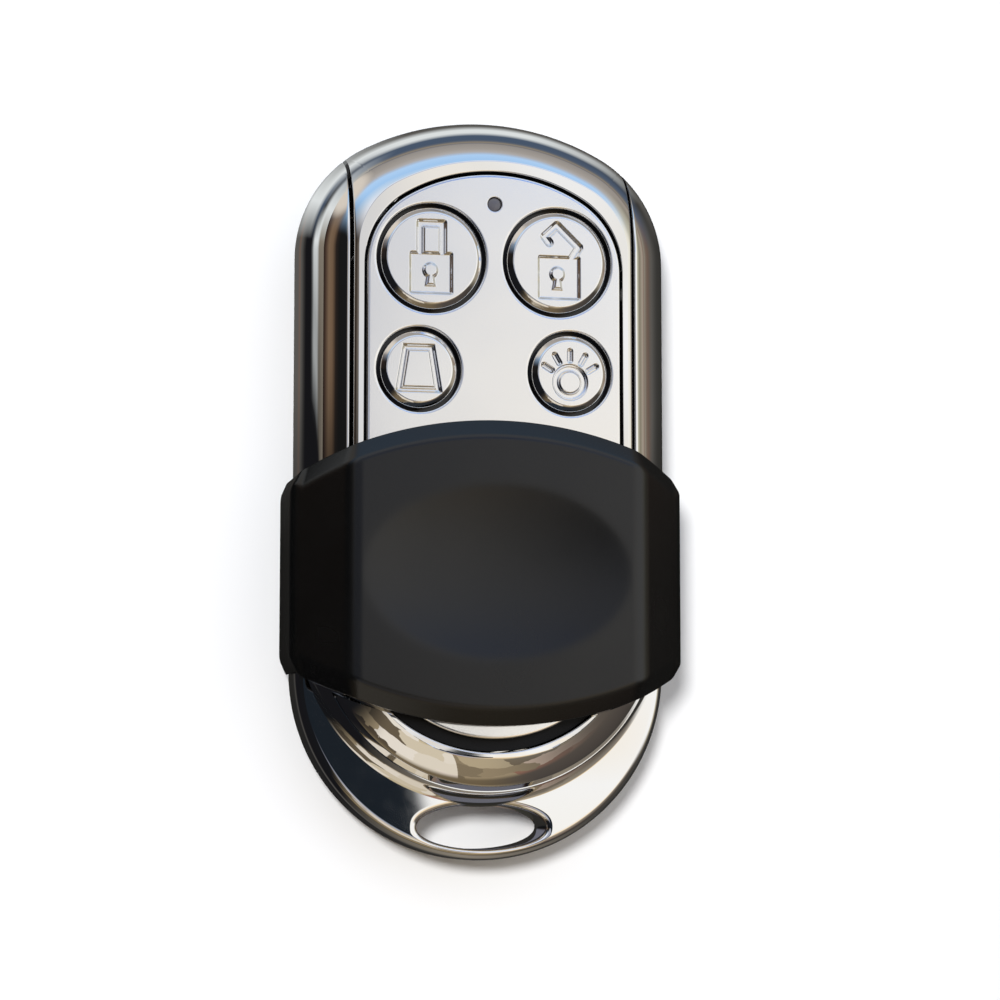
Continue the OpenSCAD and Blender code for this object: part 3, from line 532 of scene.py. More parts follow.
# Tongue: rays from the eye to the outline; height falls off as a quarter round near the outline and near the eye
def tongueGrid():
    turn = np.linspace(0, 2 * math.pi, tongue["rays"] + 1)[:-1]
    ray = np.stack([np.cos(turn), np.sin(turn)], 1)
    eyeY, long, wide = tongue["eyeY"], tongue["eyeL"] / 2, tongue["eyeW"] / 2

    # distance from the ellipse of the eye, first order
    def eyeAway(p):
        x, y = p[..., 0], p[..., 1] - eyeY
        f = np.hypot(x / long, y / wide)
        return f * (f - 1) / np.hypot(x / long ** 2, y / wide ** 2)

    # outline hit by each ray: the round tail, the straight sides above it, or the line under the body
    rise = eyeY - tailCy
    down = -rise * ray[:, 1] + np.sqrt((rise * ray[:, 1]) ** 2 - rise ** 2 + halfW ** 2)
    side = halfW / np.maximum(np.abs(ray[:, 0]), 1e-9)
    top = (endCy - eyeY) / np.maximum(ray[:, 1], 1e-9)
    outer = np.where(eyeY + down * ray[:, 1] > tailCy, np.minimum(side, top), down)
    inner = 1 / np.hypot(ray[:, 0] / long, ray[:, 1] / wide)
    # rows crowd towards both ends of a ray, spread out where it meets an edge at a slant
    hit = ray * outer[:, None] + [0, rise]
    lean = np.where(hit[:, 1] < 0, (hit * ray).sum(1) / halfW, 1)
    hole = ray * inner[:, None] + [0, eyeY]
    slant = np.clip(eyeAway(hole + tongue["step"] * ray) / tongue["step"], 0.25, 1)
    near = np.array(tongue["nearSteps"]) / slant[:, None]
    far = 1.06 * tongue["edgeW"] * np.array(tongue["farSteps"]) / np.clip(lean, 0.45, 1)[:, None]
    scale = np.minimum(1, 0.94 * (outer - inner) / (near[:, -1] + far[:, 0]))[:, None]
    first, last = inner[:, None] + near * scale, outer[:, None] - far * scale
    middle = between(first[:, -1:], last[:, :1], np.array([0.04, 0.35, 0.65, 0.96]))
    reach = np.concatenate([first, middle, last], 1)
    plan = ray[:, None] * reach[..., None] + [0, eyeY]
    x, y = plan[..., 0], plan[..., 1]
    depth = halfW - np.where(y < tailCy, np.hypot(x, y - tailCy), np.abs(x))

    def quarter(away, wide, high):
        return high * (1 - np.sqrt(np.maximum(1 - (1 - np.clip(away / wide, 0, 1)) ** 2, 0)))

    drop = quarter(depth, tongue["edgeW"], tongue["edge"]) + quarter(eyeAway(plan), tongue["lip"], tongue["lip"])
    upper, lower = tongue["topZ"] - drop, tongue["backZ"] + drop
    wall = raised(plan, 0.5 * upper + 0.5 * lower)
    grid = np.concatenate([raised(plan, upper), wall[:, -1:], raised(plan, lower)[:, ::-1], wall[:, :1]], 1)
    lifted = grid[..., 1] > chassis["grooveLow"] - tongue["lift"]              # clear of the cover grooves
    grid[..., 2] = np.where(lifted, np.maximum(grid[..., 2], chassis["grooveZ"] + tongue["lift"]), grid[..., 2])
    return grid


chassisPart = makePiece("chassis_chromed", [(chassisGrid(), False, True), (tongueGrid(), True, True)])
# painted shade on the chassis seam walls
shadeSeam(chassisPart, chassis["seamX"], False)
print("chassis made")

# Rear cover: the shell below the parting line, flat back with four screw recesses
rear = {"recessR": 1.4, "recessZ": 1.0, "backEdge": 0.315, "backSoft": (-0.06, 0.08, 0.12), "inner": 6.0,
        "partingCut": 0.1, "sideSteps": 16, "cornerSteps": 8}
screwAt = [(s * x, y) for x, y in ((4.5, 27.7), (8.0, -19.53)) for s in (-1, 1)]


def rearPiece():
    b, n = map(chained, zip((pathB, pathN), arcPath(0, endCy, halfW, 0, -90, steps["end"])))
    cut = rear["partingCut"]
    z = np.linspace(partingZ - cut, rear["backEdge"], rear["sideSteps"])
    side = np.stack([insetAt(z), z], 1)
    back = np.array([[float(insetAt(0.0)) + way, 0.0] for way in rear["backSoft"]])
    soft = softCorner(side[-1], back[0], back[1], fractions(rear["cornerSteps"])[:, None])
    line = np.concatenate([[[rear["inner"], partingZ], [insetAt(partingZ) + cut, partingZ]], side, soft, back[2:]])
    shell = mirrored(swept(b, n, line[None, :, 0], line[:, 1]))
    r, depth = rear["recessR"], rear["recessZ"]
    wells = [roundWall(at, [(r + 0.08, 0), (r + 0.02, 0.02), (r, 0.08), (r, depth)]) for at in screwAt]
    return makePiece("rear_cover_chromed", [(shell, True, False)] + [(w, False, True) for w in wells],
                     planes=(0.0, depth, partingZ))


rearPart = rearPiece()
print("rear cover made")

# Face plate: flat satin plate with four wells and the lamp hole, soft edges
plate = {"half": 11.31, "top": 27.11, "low": -22.48, "topBig": 15.06, "topSmall": 7.31, "lowBig": 12.25,
         "lowSmall": 6.46, "bottomZ": 11.2, "edge": 0.14, "wellEdge": 0.12, "wellSteps": 160, "lampEdge": 0.05,
         "shadeDrop": 0.1, "shadeFade": 0.08}
keys = {"lock": {"well": 9.75, "at": (-5.625, 19.448)}, "unlock": {"well": 9.75, "at": (5.625, 19.448)},
        "bell": {"well": 7.53, "at": (-6.735, 9.598)}, "light": {"well": 7.53, "at": (6.735, 9.598)}}
lamp = {"at": (0.0, 24.45), "hole": 0.65, "r": 0.6, "topZ": boxMm("light_pipe")[1][2], "seatZ": 11.0,
        "turnSteps": 48}


# Rows (way in from the edge, height) of a side of the plate and its soft upper edge
def edgeRows(size):
    soft = [(0, 2), (0, 1), (0.08, 0.6), (0.3, 0.3), (0.6, 0.08), (1, 0), (2, 0)]
    return [(0, plate["bottomZ"])] + [(way * size, rimZ - drop * size) for way, drop in soft]


def platePiece():
    outline = np.stack([raised(ringLine(plate, -way), z) for way, z in edgeRows(plate["edge"])])
    holes = [(k["at"], k["well"] / 2, plate["wellEdge"], plate["wellSteps"]) for k in keys.values()]
    holes.append((lamp["at"], lamp["hole"], plate["lampEdge"], lamp["turnSteps"]))
    walls = [roundWall(at, [(r + way, z) for way, z in edgeRows(edge)], count) for at, r, edge, count in holes]
    piece = makePiece("face_plate_satin", [(g, False, True) for g in (outline, *walls)],
                      planes=(rimZ, plate["bottomZ"]))
    # painted shade on the plate's sides and well walls below the rim, for the dark gaps round the plate and the caps
    shadeBelow(piece, rimZ - plate["shadeDrop"], plate["shadeFade"])
    return piece


platePart = platePiece()
print("face plate made")


# Signed distances in mm, negative inside, for the button marks
def boxAway(p, cx, cy, hx, hy, soft=0.0):
    d = np.abs(p - [cx, cy]) - [hx - soft, hy - soft]
    return np.hypot(*np.maximum(d, 0).transpose(2, 0, 1)) + np.minimum(d.max(-1), 0) - soft


def discAway(p, cx, cy, r):
    return np.hypot(p[..., 0] - cx, p[..., 1] - cy) - r


def strokeAway(p, a, b, half):
    a, b = np.array(a, float), np.array(b, float)
    t = np.clip(((p - a) @ (b - a)) / ((b - a) @ (b - a)), 0, 1)
    return np.hypot(*(p - a - t[..., None] * (b - a)).transpose(2, 0, 1)) - half


def taperAway(p, top, bottom, halfTop, halfBottom):
    slope = math.atan2(halfBottom - halfTop, top - bottom)
    middle = between(halfBottom, halfTop, (p[..., 1] - bottom) / (top - bottom))
    return np.maximum.reduce([(np.abs(p[..., 0]) - middle) * math.cos(slope), p[..., 1] - top, bottom - p[..., 1]])


def keyholeAway(p, cx, cy):
    slot = taperAway(p - [cx, cy], -0.3, -1.3, 0.2, 0.36)
    return np.minimum(discAway(p, cx, cy, 0.6), slot)


def lockMark(p):
    shackle = np.maximum(boxAway(p, -0.06, 1.75, 1.25, 1.54, 0.2), -boxAway(p, -0.06, 1.2, 0.72, 1.55, 0.1))
    return np.maximum(np.minimum(boxAway(p, -0.1, -1.36, 1.83, 1.78, 0.15), shackle), -keyholeAway(p, -0.12, -1.1))


def unlockMark(p):
    line = [(1.16, 0.2), (1.9, 1.38), (-0.08, 3.3), (-1.2, 2.25), (-0.78, 1.72)]
    shackle = np.minimum.reduce([strokeAway(p, a, b, 0.27) for a, b in zip(line, line[1:])])
    return np.maximum(np.minimum(boxAway(p, 0.11, -1.38, 1.82, 1.86, 0.15), shackle), -keyholeAway(p, 0.0, -1.05))


def bellMark(p):
    p = p - [-0.06, 0.05]
    return np.maximum(taperAway(p, 2.03, -2.03, 1.3, 1.97), -taperAway(p, 1.6, -1.68, 0.94, 1.45))


def lightMark(p):
    p = p - [-0.04, -0.81]
    marks = [np.abs(discAway(p, 0, 0, 1.25)) - 0.26]
    for a in np.radians([-58, -30, 0, 30, 58]):
        way = np.array([math.sin(a), math.cos(a)])
        marks.append(strokeAway(p, way * 1.95, way * 2.75, 0.17))
    return np.minimum.reduce(marks)


cap = {"gap": 0.35, "bevel": 0.5, "drop": 0.4, "mark": 0.24, "markEdge": 0.3, "flange": 0.42, "flangeTop": 11.1,
       "flangeLow": 10.3, "postR": 1.2, "postCut": 0.1, "ringStep": 0.042, "turnSteps": 360, "slopeStep": 0.01,
       "satinEdge": 0.02, "satinFade": 0.04, "shadeDrop": 0.06, "shadeFade": 0.05}


# Button: the cap top is a fine disc of rings with the mark sunk into it, then bevel, wall, flange and post turned below
def buttonPiece(name, mark):
    key, node = keys[name], name + "_button"
    footZ, topZ = (corner[2] for corner in boxMm(node))
    edgeZ, lean = topZ - cap["drop"], cap["drop"] / cap["bevel"]
    r = key["well"] / 2 - cap["gap"]
    face, flangeR = r - cap["bevel"], key["well"] / 2 + cap["flange"]

    def sunk(p):
        away = np.clip(0.5 - mark(p) / cap["markEdge"], 0, 1)
        return cap["mark"] * away ** 2 * (3 - 2 * away)

    top = [(reach, topZ) for reach in np.linspace(0, face - 0.1, int(face / cap["ringStep"]))]
    below = [(face - 0.05, topZ), (face, topZ - 0.012), (face + 0.05, topZ - 0.05 * lean)]
    below += [(face + s * cap["bevel"], topZ - s * cap["drop"]) for s in (0.3, 0.5, 0.7, 0.85)]
    below += [(r - 0.02, edgeZ + 0.01), (r, edgeZ - 0.04), (r, edgeZ - 0.12), (r, cap["flangeTop"]),
              (flangeR, cap["flangeTop"]), (flangeR, cap["flangeLow"]), (cap["postR"], cap["flangeLow"]),
              (cap["postR"], footZ + cap["postCut"]), (cap["postR"] - cap["postCut"], footZ), (0, footZ)]
    grid = roundWall((0, 0), top + below, cap["turnSteps"])
    grid[:len(top), :, 2] -= sunk(grid[:len(top), :, :2])
    grid[..., :2] += key["at"]
    piece = makePiece(node + "_chromed", [(grid, False, True)], angle=50)
    place = pointsMm(piece) - [*key["at"], 0]
    plan, away = place[:, :2], np.hypot(place[:, 0], place[:, 1])
    tagPoints(piece, "satinFace", np.clip((face + cap["satinEdge"] - away) / cap["satinFade"], 0, 1))
    # painted shade on the cap wall, flange and post below the bevel, for the dark ring of the well gap
    shadeBelow(piece, edgeZ - cap["shadeDrop"], cap["shadeFade"])
    # normals of the face from the slope of the sunk marks, so that the mark edges shade cleanly
    step = cap["slopeStep"]
    tilt = [(sunk((plan + d)[None])[0] - sunk((plan - d)[None])[0]) / (2 * step) for d in step * np.eye(2)]
    slope = np.stack([*tilt, np.ones(len(plan))], 1)
    slope /= np.linalg.norm(slope, axis=1, keepdims=True)
    corner, owner = np.zeros(len(piece.data.loops) * 3), np.zeros(len(piece.data.loops), int)
    piece.data.corner_normals.foreach_get("vector", corner)
    piece.data.loops.foreach_get("vertex_index", owner)
    onFace = (away < face - 0.12) & (place[:, 2] > topZ - cap["mark"] - 0.02)
    piece.data.normals_split_custom_set(np.where(onFace[owner][:, None], slope[owner], corner.reshape(-1, 3)).tolist())
    return piece


buttons = {name: buttonPiece(name, mark) for name, mark in
           (("lock", lockMark), ("unlock", unlockMark), ("bell", bellMark), ("light", lightMark))}
print("buttons made")

# Sliding cover: one section carried lengthwise, ends cut on wide arcs and bevelled, a shallow dish in the face
cover = {"half": 17.55, "faceHalf": 12.9, "topZ": 14.2, "wallTop": 9.55, "wallLow": 2.9, "outerSoft": [2.4, 2.2],
         "innerX": 16.91, "ceiling": 12.85, "innerSum": 25.686, "innerSoft": [1.6, 1.0], "midY": -8.13,
         "halfL": 13.25, "endR": 34.0, "corner": 2.7, "cornerX": 15.35, "cornerShare": 0.53,
         "bevel": 1.45, "bevelDrop": 0.78, "wallDrop": 0.55, "fadeX": 16.6, "fadeW": 0.95,
         "dishL": 11.7, "dishW": 7.6, "dish": 0.5, "dishSoft": 0.006,
         "lipX": 15.48, "lipRoot": 0.2, "lipLow": 2.9, "lipTop": 3.9, "lipHalf": 6.8, "lipSoft": [0.15, 0.15],
         "cornerSteps": 24, "sectionSteps": 150, "bevelSteps": 14, "laneSteps": 78, "liningSteps": 30, "lipSteps": 5}


# Points spread evenly by length along a line
def evened(line, count):
    length = np.concatenate([[0], np.cumsum(np.hypot(*np.diff(line, axis=0).T))])
    marks = np.linspace(0, 1, count)
    return np.stack([np.interp(marks, length / length[-1], line[:, k]) for k in (0, 1)], 1)


def coverPiece():
    half, topZ, wallLow, ceiling = (cover[k] for k in ("half", "topZ", "wallLow", "ceiling"))
    innerX, innerSum, cornerX, endR = (cover[k] for k in ("innerX", "innerSum", "cornerX", "endR"))
    # right half of the section from the middle of the face to the foot of the wall
    outer = evened(roundedLine([[0, topZ], [cover["faceHalf"], topZ], [half, cover["wallTop"]], [half, wallLow]],
                               cover["outerSoft"], cover["cornerSteps"]), cover["sectionSteps"])
    inner = evened(roundedLine([[0, ceiling], [innerSum - ceiling, ceiling], [innerX, innerSum - innerX],
                                [innerX, wallLow]], cover["innerSoft"], cover["cornerSteps"]), cover["sectionSteps"])
    tangent = np.gradient(outer, axis=0)
    tangent /= np.linalg.norm(tangent, axis=1, keepdims=True)
    normal = np.stack([-tangent[:, 1], tangent[:, 0]], 1)

    # half length of the cover at a distance x from its middle line: the wide end arc, then a quarter of an ellipse
    wide = half - cornerX
    share = cover["cornerShare"] * wide / cover["corner"]
    share /= math.hypot(1, share)
    meetX = cornerX + share * wide

    def spanAt(x):
        arc = np.sqrt(endR ** 2 - np.minimum(x, meetX) ** 2) - endR + cover["halfL"]
        bow = np.sqrt(np.maximum(1 - ((np.maximum(x, meetX) - cornerX) / wide) ** 2, 0))
        return arc + cover["corner"] * (bow - math.sqrt(1 - share ** 2))

    onWall = np.clip((outer[:, 0] - cover["fadeX"]) / cover["fadeW"], 0, 1)[:, None]
    onWall = onWall ** 2 * (3 - 2 * onWall)
    # one end in (distance from the end, depth below the outer face): a soft bevel, shallower on the thin walls
    end = roundedLine([[0, 1.2], [0, 1], [1, 0], [3, 0]], [0.12, 0.6], cover["bevelSteps"])[1:-1]
    away = end[:, 0] * cover["bevel"] * (1 - onWall)
    depth = np.minimum(end[:, 1], 1) * between(cover["bevelDrop"], cover["wallDrop"], onWall)
    first = away - spanAt(outer[:, :1] - normal[:, :1] * depth)
    lane = between(first[:, -1:], -first[:, -1:], np.linspace(0, 1, cover["laneSteps"])[1:-1])
    y = np.concatenate([first, lane, -first[:, ::-1]], 1)
    sunk = np.concatenate([depth, 0 * lane, depth[:, ::-1]], 1)
    place = outer[:, None] - normal[:, None] * sunk[..., None]
    # dish: how far a point lies inside an ellipse, with a soft rim
    lie = 1 - (place[..., 0] / cover["dishL"]) ** 2 - (y / cover["dishW"]) ** 2
    hollow = cover["dish"] * 0.5 * (lie + np.sqrt(lie ** 2 + cover["dishSoft"]))
    place[..., 1] -= hollow * (place[..., 0] < cover["faceHalf"])
    shell = np.stack([place[..., 0], y + cover["midY"], place[..., 1]], -1)
    innerY = spanAt(inner[:, :1]) * np.linspace(1, -1, cover["liningSteps"])
    lining = np.stack(np.broadcast_arrays(inner[:, :1], innerY + cover["midY"], inner[:, 1:]), -1)
    right = np.concatenate([shell, lining], 1)
    grids = [np.concatenate([right[::-1][:-1] * flip, right])]
    root, lipX, low, high = innerX + cover["lipRoot"], cover["lipX"], cover["lipLow"], cover["lipTop"]
    line = roundedLine([[root, low], [lipX, low], [lipX, high], [root, high]], cover["lipSoft"], cover["lipSteps"])
    for s in (-1, 1):
        bar = np.stack([np.stack([s * line[:, 0], np.full(len(line), cover["midY"] + way), line[:, 1]], 1)
                        for way in (-cover["lipHalf"], cover["lipHalf"])])
        grids += [bar] + [np.stack([side, side.mean(0) + 0 * side]) for side in bar]
    return makePiece("slide_cover_satin", [(g, False, True) for g in grids], planes=(wallLow,), angle=45)


coverPart = coverPiece()
print("cover made")


# Lamp lens: a flat dome on the light pipe
def lensPiece():
    lowZ, topZ, r = boxMm("light_pipe")[0][2], lamp["topZ"], lamp["r"]
    dome = [(0, 0), (0.2, 0.002), (0.5, 0.012), (0.8, 0.035), (0.93, 0.07), (1, 0.16)]
    rows = [(share * r, topZ - drop) for share, drop in dome] + [(r, lamp["seatZ"]), (r, lowZ), (0, lowZ)]
    return makePiece("lamp_lens_smoked", [(roundWall(lamp["at"], rows, lamp["turnSteps"]), False, True)])


lensPart = lensPiece()

# Case screws: round heads with a cross recess, seen in the back
screw = {"headR": 1.3, "faceR": 1.05, "faceZ": 0.2, "seatZ": 1.0, "shankR": 0.8, "tipR": 0.5, "tipL": 0.3,
         "cross": 0.3, "crossHalf": 0.2, "crossL": 0.75, "crossSoft": 0.05, "crossEdge": 0.1, "rings": 30,
         "turnSteps": 96}


def screwPiece():
    headR, faceZ, seatZ, shankR = (screw[k] for k in ("headR", "faceZ", "seatZ", "shankR"))
    tipZ, rings = boxMm("case_screws")[1][2], screw["rings"]
    rows = [(reach, faceZ) for reach in np.linspace(0, screw["faceR"], rings)]
    rows += [(1.15, faceZ + 0.01), (1.24, faceZ + 0.06), (headR, faceZ + 0.2), (headR, seatZ), (shankR, seatZ),
             (shankR, tipZ - screw["tipL"]), (screw["tipR"], tipZ), (0, tipZ)]
    one = roundWall((0, 0), rows, screw["turnSteps"])
    arms = [(screw["crossL"], screw["crossHalf"]), (screw["crossHalf"], screw["crossL"])]
    away = np.minimum(*[boxAway(one[:rings, :, :2], 0, 0, *arm, screw["crossSoft"]) for arm in arms])
    one[:rings, :, 2] += np.clip(0.5 - away / screw["crossEdge"], 0, 1) * screw["cross"]
    return makePiece("case_screws_plated", [(one + np.array([x, y, 0]), False, True) for x, y in screwAt])


screwPart = screwPiece()
print("lens and screws made")

noiseSpan = {"From Min": 0.3, "From Max": 0.7}
# near-black tone of the painted shade in the gaps between parts
gapShadeTone, grainDepth = "#0a0a0b", 0.00003


# A cleared material, with a noise over the piece for each pair of scale and detail
def makeMaterial(name, *noises):
    material = bpy.data.materials.new(name)
    material.use_nodes = True
    tree = material.node_tree
    tree.nodes.clear()
    made = []
    if noises:
        place = (addNode(tree, "TexCoord"), "Object")
        made = [addNode(tree, "TexNoise", {"Vector": place, "Scale": scale, "Detail": detail})
                for scale, detail in noises]
    return material, tree, *made


def endMaterial(tree, inputs):
    shader = addNode(tree, "BsdfPrincipled", inputs)
    addNode(tree, "OutputMaterial", {"Surface": (shader, "BSDF")})


# Nickel and chrome plate over cast zinc: waves (scale, detail, strength, depth in m) bend the reflections, a haze
# (scale, detail) spreads the roughness between two values, and sides tagged with painted gap shade are dark and not
# metallic
def platedMaterial(name, tone, waves, haze, spread, edgeRough=None):
    material, tree, wave, cloud = makeMaterial(name, waves[:2], haze)
    shadeMask = addNode(tree, "Attribute", attribute_name="bareSide")
    metalUnshaded = addNode(tree, "MapRange", {"Value": (shadeMask, "Fac"), "To Min": 1.0, "To Max": 0.0})
    base = addNode(tree, "MixRGB", {"Fac": (shadeMask, "Fac"), "Color1": colour(tone), "Color2": colour(gapShadeTone)})
    rough = addNode(tree, "MapRange", {"Value": (cloud, "Fac"), **noiseSpan,
                                       "To Min": spread[0], "To Max": spread[1]})
    if edgeRough:
        face = addNode(tree, "Attribute", attribute_name="satinFace")
        rough = addNode(tree, "MapRange", {"Value": (face, "Fac"), "To Min": edgeRough,
                                           "To Max": (rough, "Result")})
    bump = addNode(tree, "Bump", {"Height": (wave, "Fac"), "Strength": waves[2], "Distance": waves[3]})
    endMaterial(tree, {"Base Color": (base, "Color"), "Metallic": (metalUnshaded, "Result"), "Roughness": (rough, "Result"),
                       "Normal": (bump, "Normal")})
    return material


# Moulded plastic or rubber: a fine tool texture and a slightly uneven sheen
def mouldedMaterial(name, base, dark, roughness, grainMm, strength, ior):
    material, tree, grain, cloud = makeMaterial(name, (1000.0 / grainMm, 3.0), (120.0, 2.0))
    tone = addNode(tree, "ValToRGB", {"Fac": (cloud, "Fac")}, [(0.3, dark), (0.7, base)])
    rough = addNode(tree, "MapRange", {"Value": (cloud, "Fac"), **noiseSpan,
                                       "To Min": roughness - 0.03, "To Max": roughness + 0.03})
    bump = addNode(tree, "Bump", {"Height": (grain, "Fac"), "Strength": strength, "Distance": grainDepth})
    endMaterial(tree, {"Base Color": (tone, "Color"), "Roughness": (rough, "Result"), "IOR": ior,
                       "Normal": (bump, "Normal")})
    return material


# Plain worked metal: drawn or stamped surface with soft streaks in the sheen
def metalMaterial(name, base, worn, roughness, grainMm):
    material, tree, grain = makeMaterial(name, (1000.0 / grainMm, 3.0))
    tone = addNode(tree, "ValToRGB", {"Fac": (grain, "Fac")}, [(0.3, worn), (0.7, base)])
    rough = addNode(tree, "MapRange", {"Value": (grain, "Fac"), **noiseSpan,
                                       "To Min": roughness - 0.05, "To Max": roughness + 0.05})
    endMaterial(tree, {"Base Color": (tone, "Color"), "Metallic": 1.0, "Roughness": (rough, "Result")})
    return material


blasted = ("#f7f6f4", (9000.0, 2.0, 0.08, 0.00002), (90.0, 2.0), (0.11, 0.15))
chrome = platedMaterial("chromePlatedZincPolished", "#f4f3f1", (160.0, 1.0, 0.05, grainDepth), (700.0, 4.0),
                        (0.012, 0.034))
satin = platedMaterial("satinChromeBlasted", *blasted)
capChrome = platedMaterial("chromeCapSatinFace", *blasted, 0.05)
blackCover = mouldedMaterial("blackAbsSatinMoulded", "#090909", "#060606", 0.25, 0.12, 0.08, 1.53)
smoked = mouldedMaterial("smokedPolycarbonateLens", "#55545a", "#4c4b51", 0.25, 0.3, 0.05, 1.58)
plungerGrey = mouldedMaterial("greyAcetalPlunger", "#8d8f92", "#818386", 0.4, 0.2, 0.1, 1.48)
moulded = {"plate_gasket": ("blackSiliconeRubber", "#0c0c0d", "#080809", 0.6, 0.2, 0.2, 1.43),
           "switch_housings": ("blackNylonSwitchCase", "#17171a", "#121214", 0.5, 0.15, 0.15, 1.53),
           "circuit_board": ("greenSolderMask", "#1e5a36", "#194d2e", 0.35, 0.5, 0.15, 1.5),
           "status_led": ("clearEpoxyLed", "#e9e4d0", "#ddd8c4", 0.25, 0.3, 0.05, 1.54),
           "radio_chip": ("blackEpoxyChip", "#1d1d1f", "#171719", 0.55, 0.12, 0.25, 1.55),
           "chip_passives": ("tanCeramicChip", "#9a8464", "#877354", 0.45, 0.2, 0.1, 1.6)}
metals = {"coin_cell": ("nickelPlatedCellSteel", "#c9c8c4", "#bdbcb8", 0.24, 0.6),
          "battery_clip": ("tinPlatedSpringBrass", "#c9c2a6", "#b9b298", 0.28, 0.3),
          "battery_spring": ("nickelPlatedSpringSteel", "#c4c3bf", "#b2b1ad", 0.26, 0.3),
          "resonator_can": ("drawnNickelSilverCan", "#cfcdc8", "#c0beb9", 0.2, 0.5),
          "loop_antenna": ("bareCopperTrack", "#c98a63", "#b87a55", 0.3, 0.3),
          "board_screws": ("zincPlatedSteel", "#b9bcc0", "#a4a7ab", 0.3, 0.4)}
finishes = {name: mouldedMaterial(*look) for name, look in moulded.items()}
finishes.update({name: metalMaterial(*look) for name, look in metals.items()})
finishes.update({name + "_plunger": plungerGrey for name in keys})
for name, material in finishes.items():
    nodes[name].data.materials.clear()
    nodes[name].data.materials.append(material)

parts = [(bezelPart, "body", "front_bezel", "chrome_body", chrome),
         (chassisPart, "body", "chassis", "chrome_body", chrome),
         (rearPart, "body", "rear_cover", "chrome_body", chrome),
         (platePart, "body", "face_plate", "satin_plate", satin),
         (coverPart, "cover", "slide_cover", "black_cover", blackCover),
         (lensPart, "body", "light_pipe", "lamp_lens", smoked),
         (screwPart, "body", "case_screws", "screw_steel", finishes["board_screws"])]
parts += [(buttons[n], n + "_key", n + "_button", "chrome_caps", capChrome) for n in keys]
for piece, bodyName, node, slotName, material in parts:
    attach(piece, bodyName)
    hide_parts(node)
    piece.data.materials.append(material)
print("materials set")


# Floor: a plain white sheet, wide enough for low views, just under the part; in metres
floorSheet = {"half": 3.0, "below": 0.00002}


def floorPiece():
    mesh, wide = bpy.data.meshes.new("floor_sheet"), floorSheet["half"]
    mesh.from_pydata([(-wide, -wide, 0), (wide, -wide, 0), (wide, wide, 0), (-wide, wide, 0)], [], [(0, 1, 2, 3)])
    floor = addObject("floor_sheet", mesh)
    floor.location.z = cadBox[0][2] - floorSheet["below"]
    material, tree = makeMaterial("whitePaperSheet")
    endMaterial(tree, {"Base Color": colour("#f7f7f7"), "Roughness": 0.9, "Specular IOR Level": 0.1})
    mesh.materials.append(material)
    floor.visible_glossy = False


floorPiece()

# Room seen by the chrome, painted in layers over a dark ground: each has one tone, or a ramp of tones over a direction,
# and the stretches of directions over which it fades in to full; north is towards the lamp end, east to the right
room = {"window": (-0.66, 0.74, 0.1), "camera": (-0.2034, -0.1042, 0.9735)}
shelf = {"wide": 0.36, "high": 0.15, "shift": 0.37, "wobble": (0.3, 0.2, 0)}
sky = {"start": -0.45, "end": 0.55, "drift": 0.14}
layers = [("z", [(0.0, "#2a1f1a"), (0.06, "#483830"), (0.16, "#7a6450"), (0.25, "#725c49"), (0.34, "#2a2320"),
                 (0.42, "#1a1a1a"), (0.66, "#191a1c"), (0.76, "#4a4038"), (0.86, "#b9b4ad")], [("y", 0.09, 0.16)]),
          ("z", [(0.0, "#857367"), (0.06, "#a89d90"), (0.15, "#87806f"), (0.24, "#b0ad9a"), (0.34, "#c4c0ae"),
                 (0.42, "#f0ecdf"), (0.6, "#ffffff")], [("east", -0.4, 0.4)]),
          ("z", [(0.0, "#4a3f2e"), (0.1, "#85755a"), (0.25, "#a39274"), (0.35, "#6b5d48"), (0.6, "#7d6f58"),
                 (0.8, "#b3a58a")], [("north", -0.45, -0.7)]),
          ("z", [(0.0, "#35342f"), (0.25, "#4a4440"), (0.6, "#5a534c"), (0.8, "#8a837a")],
           [("north", -0.15, -0.4), ("east", 0.1, 0.5)]),
          ("boxes", [(0.0, "#2c211c"), (0.2, "#6e6250"), (0.4, "#a59478"), (0.6, "#cbbc9e"), (0.8, "#ece4d8"),
                     (0.93, "#c9a58f"), (1.0, "#7a4234")],
           [("north", -0.3, -0.7), ("z", 0.42, 0.5), ("east", 0.95, 0.1)]),
          ("z", [(0.0, "#6c6d78"), (0.03, "#98938f"), (0.2, "#a8a29d"), (0.29, "#b6b3b3"), (0.34, "#b2c6e0"),
                 (0.38, "#b4d8ff"), (0.5, "#a8d0fb"), (0.58, "#c4dcf6"), (0.7, "#eef2fb")], [("north", 0.35, 0.85)]),
          (None, "#dcd3c8", [("window", 0.94, 0.985)]),
          ("sky", [(0.0, "#dcc29c"), (0.22, "#e8cfa8"), (0.33, "#ffe9c8"), (0.41, "#fffdf8"), (0.48, "#ffffff"),
                   (0.54, "#fdf5e8"), (0.58, "#fdf5ea"), (0.61, "#f0eeea"), (0.66, "#fbfcff"), (0.7, "#a8c8fb"),
                   (0.78, "#6f9ff0")], [("z", 0.85, 0.92)]),
          (None, "#a3a8b8", [("z", 0.85, 0.92), ("x", 0.19, 0.1)]),
          (None, "#17181b", [("east", -0.55, -0.8), ("north", 0.1, -0.1), ("z", 0.97, 0.9)]),
          (None, "#1c2229", [("camera", 0.9196, 0.9225), ("y", -0.25, -0.12), ("y", 0.075, 0.05)])]


